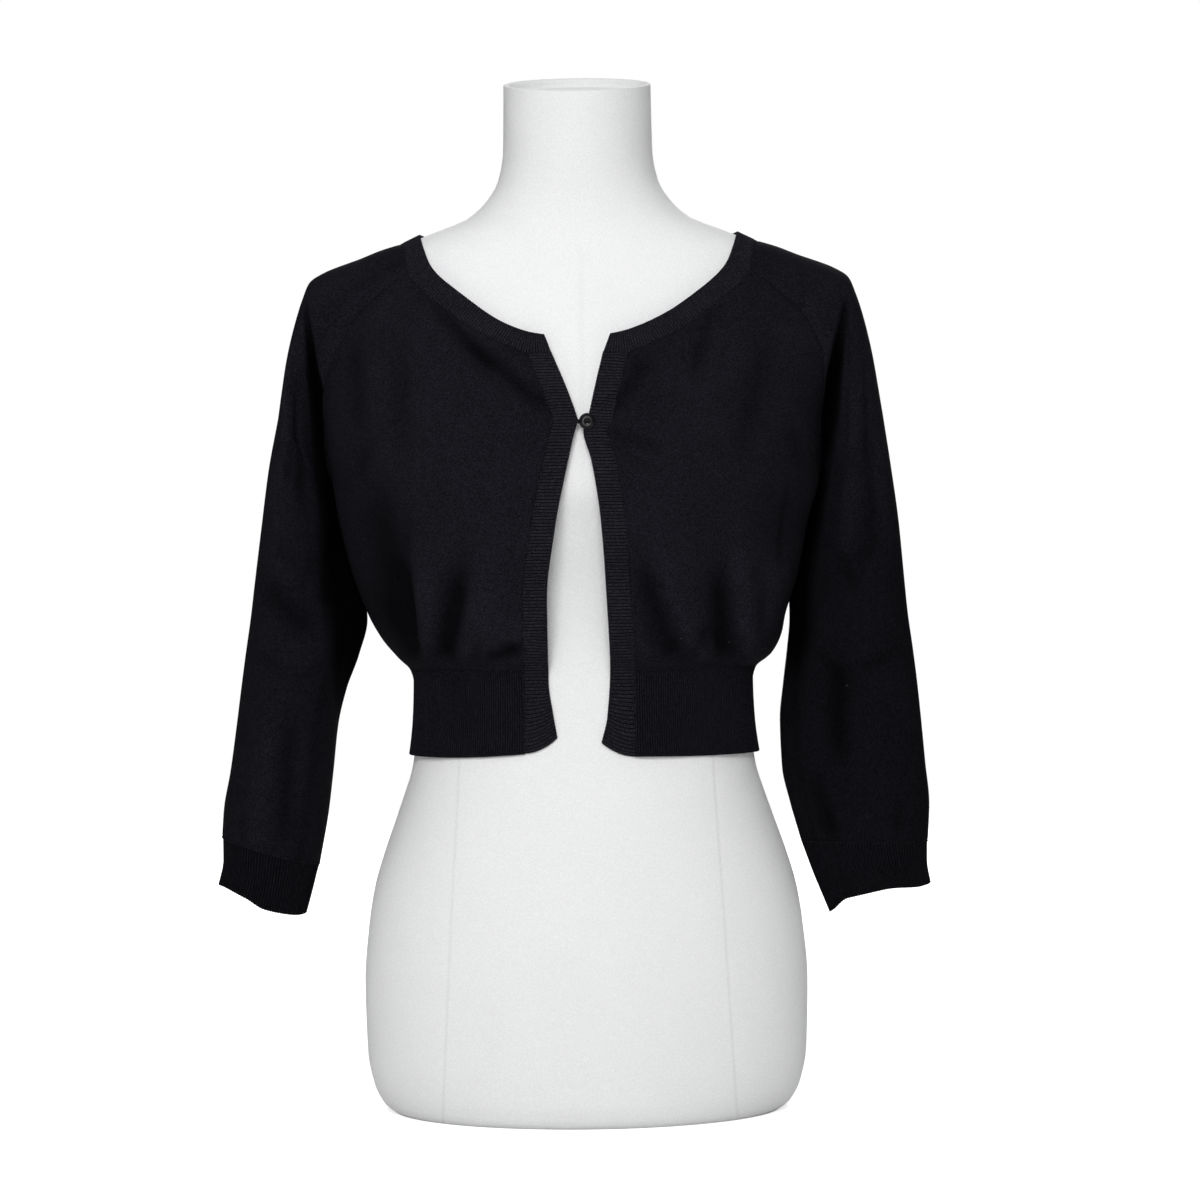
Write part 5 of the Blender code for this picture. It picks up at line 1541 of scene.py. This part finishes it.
# place round the cuff, -1 at its seam in front, 0 outside; how far the hem swings up there
CUFF_HEM = {
    -1: metres([
        (-1, 2.5), (-0.75, 0), (-0.55, -1), (-0.4, 3), (-0.2, 5), (0.1, 2), (0.6, 4), (1, 2.5),
    ], shares=1),
    1: metres([
        (-1, -1.5), (-0.9, 1), (-0.75, 8), (-0.5, 9), (-0.2, 4), (0.2, 3), (0.6, 7), (0.9, 2),
        (1, -1.5),
    ], shares=1),
}
CUFF_SHADE = 0.5
CUFF_POINTS = 161
DOWN_CUFF = np.array([0, 0.02, 0.05, 0.1, 0.2, 0.35, 0.5, 0.65, 0.8, 0.9, 0.95, 0.98, 1.0])


def cuff(node, side):
    t = np.linspace(0, 1, CUFF_POINTS)
    shares, ribs = even_shares(tube_ring(smooth(CUFF[side], 0.5), side, t), CUFF_RIB)
    rows = []
    for down in DOWN_CUFF:
        dense = tube_ring(smooth(CUFF[side], down), side, t)
        keys = np.linspace(0, 1, len(dense))
        dense[:, 2] += smooth(CUFF_HEM[side], 2 * keys - 1)[:, 0] * down**2
        rows.append(each_axis(shares, keys, dense))
    points = np.array(rows)
    normals = normals_of(points, lambda point: np.array([side, 0.0, 0.0]), wrap=True)
    reach = (SEAM_LAP, FREE_REACH, 0.0, 0.0)
    ribbed_strip(node, points, normals, ribs, CUFF_RIB, (1, 0, 0, 0), CUFF_SHADE, reach)


for side, name in SIDES.items():
    cuff(f"cuff_{name}", side)

# %% [markdown]
# ## Linked seams
#
# Knitted pieces are joined stitch by stitch on a linking machine, which leaves a fine chain
# of loops in the groove between them. A stitch is a small squashed ball, and a Geometry
# Nodes tree sets one every millimetre and a half along the seam's line, laid along the seam
# with its top turned outwards. Each seam's line is an edge of the sheets made above.

# %% Build the stitch tree
STITCH_PITCH = 0.0015
STITCH_SIZE = (0.0009, 0.00042, 0.00032)


def build_seam_tree():
    tree, given, made = geometry_tree("linked_seam", {"Pitch": "Float"})
    curve = add_node(tree, "GeometryNodeMeshToCurve", Mesh=given["Geometry"]).outputs[0]
    cut = {"Curve": curve, "Length": given["Pitch"]}
    spaced = add_node(tree, "GeometryNodeResampleCurve", {"mode": "LENGTH"}, **cut)
    ball = add_node(tree, "GeometryNodeMeshUVSphere", Segments=8, Rings=5, Radius=1.0)
    turn = "FunctionNodeAlignRotationToVector"
    tangent = add_node(tree, "GeometryNodeInputTangent").outputs[0]
    along = add_node(tree, turn, {"axis": "X"}, Vector=tangent).outputs[0]
    lift = named_attribute(tree, "lift", "FLOAT_VECTOR")
    outward = add_node(tree, turn, {"axis": "Z", "pivot_axis": "X"}, Rotation=along, Vector=lift)
    place = add_node(
        tree,
        "GeometryNodeInstanceOnPoints",
        Points=spaced.outputs[0],
        Instance=ball.outputs["Mesh"],
        Rotation=outward.outputs[0],
        Scale=STITCH_SIZE,
    )
    return finish_tree(tree, place.outputs[0], given, made)


SEAM_TREE = build_seam_tree()


def linked_seam(name, lines, sink=0.0001, material=SEWING, pitch=STITCH_PITCH):
    """A chain of stitches along each of these lines of (points, outward directions)."""
    points = np.concatenate([line - facing * sink for line, facing in lines])
    ends = set(np.cumsum([len(line) for line, _ in lines]) - 1)
    mesh = bpy.data.meshes.new(name)
    mesh.from_pydata(points.tolist(), [(k, k + 1) for k in range(len(points)) if k not in ends], [])
    write_attribute(mesh, "lift", np.concatenate([facing for _, facing in lines]))
    seam = add_object(name, mesh)
    grow(seam, SEAM_TREE, Pitch=pitch, Material=material)
    seam.data.shade_smooth()
    ready(seam)


print(SEAM_TREE.name, len(SEAM_TREE.nodes), "nodes")

# %% Sew the seams
TUBE = slice(ARCHES, None)
EACH_FOURTH = slice(None, None, 4)
linked_seam(
    "raglan_seams",
    [
        edge("front_right", raised, 0),
        edge("front_left", raised, 0),
        edge("back", raised, 0),
        edge("back", raised, -1),
    ],
)
linked_seam(
    "side_and_sleeve_seams",
    [
        edge("front_right", lower, 0),
        edge("front_left", lower, 0),
        edge("sleeve_right", TUBE, 0),
        edge("sleeve_left", TUBE, 0),
        edge("cuff_right", WHOLE, 0),
        edge("cuff_left", WHOLE, 0),
    ],
)
linked_seam(
    "rib_seams",
    [
        edge("neckband", 0, EACH_FOURTH),
        edge("waistband", 0, EACH_FOURTH),
        edge("front_band_right", -1, EACH_FOURTH),
        edge("front_band_left", -1, EACH_FOURTH),
        edge("cuff_right", 0, EACH_FOURTH),
        edge("cuff_left", 0, EACH_FOURTH),
    ],
)

# %% [markdown]
# ## The button and its loop
#
# The button is a turned disc with a dished middle, a raised ring in the dish and four holes,
# sewn on with a crossed thread. A Screw modifier turns its profile and a Boolean drills the
# holes. It is made flat round the origin and then moved in its mesh to its place on the left
# band, where it droops forward a little on its thread.

# %% Place of the button
BUTTON_AT = (0.0054, 0.5202)
BUTTON_DROOP = 0.36


def surface_frame(x, height, droop=0.0):
    """A matrix that lays +Z along the cloth's outward direction there, less this droop."""
    angle = angle_at(x, height)
    outward = Vector(np.cross(*nearby(body, angle, height))).normalized()
    outward = (outward - Vector((0, 0, droop))).normalized()
    right = Vector((0, 0, 1)).cross(outward).normalized()
    turn = Matrix((right, outward.cross(right), outward)).transposed()
    return Matrix.Translation(body(angle, height)) @ turn.to_4x4()


BUTTON_PLACE = surface_frame(*BUTTON_AT, BUTTON_DROOP)
print("button at", [round(v, 4) for v in BUTTON_PLACE.translation])

# %% Profile of the button
BUTTON_RADIUS = 0.0060
BUTTON_TOP = 0.0042
BUTTON_UNDER = 0.0020
BUTTON_DISH = 0.0006
RIM_ROUND = 0.0009
RING_RADIUS = 0.0032
RING_SIZE = (0.00055, 0.0005)
SHANK_RADIUS = 0.0012
SHANK_FOOT = 0.0004
DISH_HEIGHT = BUTTON_TOP - BUTTON_DISH


def arc(centre, size, start, step, count):
    """Points round a centre, from the start angle on in equal steps clockwise."""
    turns = [start - k * step for k in range(count)]
    return [(centre[0] + size[0] * math.cos(t), centre[1] + size[1] * math.sin(t)) for t in turns]


def button_profile():
    """Radius and height, from the middle of the dish over ring and rim down to the shank."""
    rim, low = BUTTON_RADIUS, BUTTON_UNDER
    ring_centre = (RING_RADIUS, BUTTON_TOP - RING_SIZE[1])
    rim_centre = (rim - RIM_ROUND, DISH_HEIGHT - RIM_ROUND)
    return [
        (0.0, DISH_HEIGHT),
        (RING_RADIUS - 0.0008, DISH_HEIGHT),
        *arc(ring_centre, RING_SIZE, math.pi, math.pi / 10, 9),
        *arc(rim_centre, (RIM_ROUND, RIM_ROUND), math.pi / 2.6, math.pi / 15.6, 7),
        (rim, low + 0.0006),
        (rim - 0.0002, low + 0.0002),
        (rim - 0.0008, low),
        (SHANK_RADIUS, low),
        (SHANK_RADIUS, SHANK_FOOT),
        (0.0, SHANK_FOOT),
    ]


print("profile points:", len(button_profile()))

# %% Turn and drill the button
HOLE_RING = 0.0014
HOLE_RADIUS = 0.00065
HOLE_COUNT = 4
CUTTER_LENGTH = 0.004
CUTTER_LIFT = 0.0004
TURNING_STEPS = 48
MERGED = 1e-5
SHARP_CORNER = 50
# the side of the ring where the painted highlight is strongest
HIGHLIGHT_SIDE = 0.5


def settled(obj, place):
    """The object's evaluated mesh, smooth, put in place in its points, with no modifiers left."""
    graph = bpy.context.evaluated_depsgraph_get()
    mesh = bpy.data.meshes.new_from_object(obj.evaluated_get(graph))
    mesh.transform(place @ obj.matrix_world)
    mesh.shade_smooth()
    name, source = obj.name, obj.data
    bpy.data.objects.remove(obj)
    bpy.data.batch_remove([source])
    made = add_object(name, mesh)
    made.name = mesh.name = name
    return made


def drill(button):
    """Four holes sunk in the dish by upright cylinders, which are returned."""
    cutters = []
    for x, y in arc((0, 0), (HOLE_RING, HOLE_RING), math.pi / 4, -math.tau / HOLE_COUNT, HOLE_COUNT):
        bpy.ops.mesh.primitive_cylinder_add(vertices=16, radius=HOLE_RADIUS, depth=CUTTER_LENGTH)
        cutter = bpy.context.object
        cutter.location = (x, y, BUTTON_TOP + CUTTER_LIFT)
        cut = button.modifiers.new("hole", "BOOLEAN")
        cut.operation = "DIFFERENCE"
        cut.object = cutter
        cutters.append(cutter)
    return cutters


def painted_ring_highlight(points):
    """How much painted highlight each point gets: the ring's top, most on one side, and the dish a
    little.
    """
    beside = np.abs(np.hypot(points[:, 0], points[:, 1]) - RING_RADIUS + 0.0001)
    side = 0.6 - 0.4 * np.cos(np.arctan2(points[:, 1], points[:, 0]) + HIGHLIGHT_SIDE)
    top = ramp((0.0006 - beside) / 0.0003) * (points[:, 2] > DISH_HEIGHT) * side
    in_dish = (np.abs(points[:, 2] - DISH_HEIGHT) < 0.00002) * (beside > 0.0009)
    return np.maximum(top, 0.3 * in_dish)


def turned_button():
    profile = button_profile()
    mesh = bpy.data.meshes.new("button_turned")
    edges = [(k, k + 1) for k in range(len(profile) - 1)]
    mesh.from_pydata([(radius, 0.0, height) for radius, height in profile], edges, [])
    mesh.materials.append(BUTTON)
    button = add_object("button_turned", mesh)
    turned = button.modifiers.new("turned", "SCREW")
    turned.steps = turned.render_steps = TURNING_STEPS
    turned.use_merge_vertices = True
    turned.merge_threshold = MERGED
    cutters = drill(button)
    bpy.context.view_layer.update()
    made = settled(button, BUTTON_PLACE)
    made.data.set_sharp_from_angle(angle=math.radians(SHARP_CORNER))
    flat = np.array([BUTTON_PLACE.inverted() @ vertex.co for vertex in made.data.vertices])
    # painted highlight on the ring and painted reflection in the dish, for the finish
    write_attribute(made.data, "painted_highlight", painted_ring_highlight(flat))
    bpy.data.batch_remove(cutters)
    return made


ready(turned_button(), "button")

# %% [markdown]
# Thread and cord are both twisted strands, so one helper winds them: it takes a short route,
# smooths it, and runs two strands round it as a helix. The thread crosses the button's dish
# between its holes. The loop leaves the right band's edge, goes round the button's shank
# under the disc and comes back.

# %% Helper for twisted strands
STRANDS = 2
STEPS_A_TWIST = 10
WRAP_RADIUS = 0.8


def wound(name, routes, strand, twist, place):
    """Cords made of two fine strands, of this radius, wound round each of these routes."""
    data = bpy.data.curves.new(name, "CURVE")
    data.dimensions = "3D"
    data.bevel_depth = strand
    data.bevel_resolution = 2
    data.use_fill_caps = True
    data.materials.append(SEWING)
    for route in routes:
        route = np.array(route, float)
        keys = run_along(route)
        count = max(12, round(keys[-1] / twist * STEPS_A_TWIST))
        line = smooth(np.column_stack([keys, route]), np.linspace(0, keys[-1], count + 1))
        ahead = unit(np.gradient(line, axis=0))
        aside = unit(np.cross(ahead, [0.0, 0.0, 1.0]) + 1e-9)
        above_it = np.cross(aside, ahead)
        turn = np.linspace(0, keys[-1] / twist * 2 * math.pi, count + 1)[:, None]
        for k in range(STRANDS):
            phase = turn + k * 2 * math.pi / STRANDS
            off = (aside * np.cos(phase) + above_it * np.sin(phase)) * strand * WRAP_RADIUS
            spline = data.splines.new("POLY")
            spline.points.add(count)
            points = np.column_stack([line + off, np.ones(count + 1)])
            spline.points.foreach_set("co", points.reshape(-1))
        print(name, round(run_along(line)[-1] * 1000, 1), "mm of cord")
    cord = add_object(name, data)
    bpy.context.view_layer.update()
    return settled(cord, place)


# %% Sew on the button
THREAD_STRAND = 0.00014
THREAD_TWIST = 0.0012
hole = HOLE_RING * math.sqrt(0.5)
mouth = hole * 0.9
thread_routes = [
    (
        (-hole, sign * hole, DISH_HEIGHT - 0.0006),
        (-mouth, sign * mouth, DISH_HEIGHT + 0.00015),
        (0, 0, DISH_HEIGHT + 0.00035),
        (mouth, -sign * mouth, DISH_HEIGHT + 0.00015),
        (hole, -sign * hole, DISH_HEIGHT - 0.0006),
    )
    for sign in (-1, 1)
]
ready(wound("button_thread", thread_routes, THREAD_STRAND, THREAD_TWIST, BUTTON_PLACE))

# %% Wind the loop
LOOP_STRAND = 0.00052
LOOP_TWIST = 0.0024
LOOP_EYE = 0.0024
LOOP_HEIGHT = 0.0011
edge_place = surface_frame(free_edge(-1, BUTTON_AT[1]), BUTTON_AT[1])
loop_start = (BUTTON_PLACE.inverted() @ edge_place.translation).x


def loop_run(side):
    """One of the two runs between the band's edge and the eye round the shank."""
    return [
        (loop_start - 0.003, side * 0.0006, LOOP_HEIGHT - 0.0006),
        (loop_start, side * 0.0007, LOOP_HEIGHT),
        (loop_start * 0.55, side * 0.0010, LOOP_HEIGHT + 0.0001),
    ]


eye = arc((0, 0), (LOOP_EYE, LOOP_EYE), math.pi / 2, math.pi / 8, 9)
loop_route = loop_run(1) + [(x, y, LOOP_HEIGHT) for x, y in eye] + loop_run(-1)[::-1]
loop = wound("button_loop_cord", [loop_route], LOOP_STRAND, LOOP_TWIST, BUTTON_PLACE)
ready(loop, "button_loop")

# %% [markdown]
# ## The dress form
#
# The form is a smooth torso with a fitted jersey cover, cut off level below the hips and on
# a slant at the neck. Its rings come from the same table as the solid, only closer together,
# and the neck ends in a rim with a shallow dish. A line of hem stitches runs just inside it.

# %% Make the form's cover
NECK_TILT = 0.259
NECK_TILT_FROM = 0.7050
NECK_RIM = 0.0040
NECK_DISH = 0.0060
FORM_COLUMNS = 144
FORM_TOP, TOP_WIDTH = FORM_SECTIONS[-1, :2]
# how far each round of the rim drops, and how far it goes in as a share of the rim's width
RIM_ROUNDS = ((-0.0006, 0.35), (-0.0002, 0.8), (0.0012, 1.1), (NECK_DISH, 1.5))


def form_round(height, drop=0.0, inset=0.0):
    angles = np.linspace(0, 2 * math.pi, FORM_COLUMNS, endpoint=False)
    points = ring(FORM_SECTIONS, angles, np.full_like(angles, height))
    points[:, :2] *= 1 - NECK_RIM * inset / TOP_WIDTH
    tilt = NECK_TILT * ramp((height - NECK_TILT_FROM) / (FORM_TOP - NECK_TILT_FROM))
    points[:, 2] += tilt * points[:, 1] - drop
    return points


def make_form():
    heights = np.concatenate([np.linspace(0, 0.045, 16), np.linspace(0.045, FORM_TOP, 150)])
    rounds = [form_round(height) for height in np.unique(heights)]
    rounds += [form_round(FORM_TOP, drop, inset) for drop, inset in RIM_ROUNDS]
    points = np.array(rounds)
    rows = len(points)
    index = np.arange(rows * FORM_COLUMNS).reshape(rows, FORM_COLUMNS)
    faces = quads(np.concatenate([index, index[:, :1]], axis=1))[:, ::-1].tolist()
    faces += [index[0][::-1].tolist(), index[-1].tolist()]
    mesh = bpy.data.meshes.new("form_cover")
    mesh.from_pydata(points.reshape(-1, 3).tolist(), [], faces)
    mesh.materials.append(COVER)
    mesh.shade_smooth()
    mesh.set_sharp_from_angle(angle=math.radians(55))
    closed = np.concatenate([points, points[:, :1]], axis=1)
    upward = run_along(closed)
    around = run_along(closed, 1).max() * np.linspace(0, 1, FORM_COLUMNS + 1) + 0 * upward
    places = np.stack([around, upward], axis=-1).reshape(-1, 2)
    corners = quads(np.arange(upward.size).reshape(upward.shape))[:, ::-1].reshape(-1)
    uv = np.zeros((len(mesh.loops), 2), np.float32)
    uv[: len(corners)] = places[corners]
    mesh.uv_layers.new(name="cloth_metres").data.foreach_set("uv", uv.reshape(-1))
    return add_object("form_cover", mesh)


ready(make_form(), "dress_form")

# %% Stitch the rim's hem
RIM_PITCH = 0.0026
rim = form_round(FORM_TOP, drop=0.0026, inset=1.26)
rim = np.concatenate([rim, rim[:1]])
inward = unit(rim * [-1.0, -1.0, 0.0])
linked_seam("rim_stitches", [(rim, inward)], 0.0, COVER, RIM_PITCH)
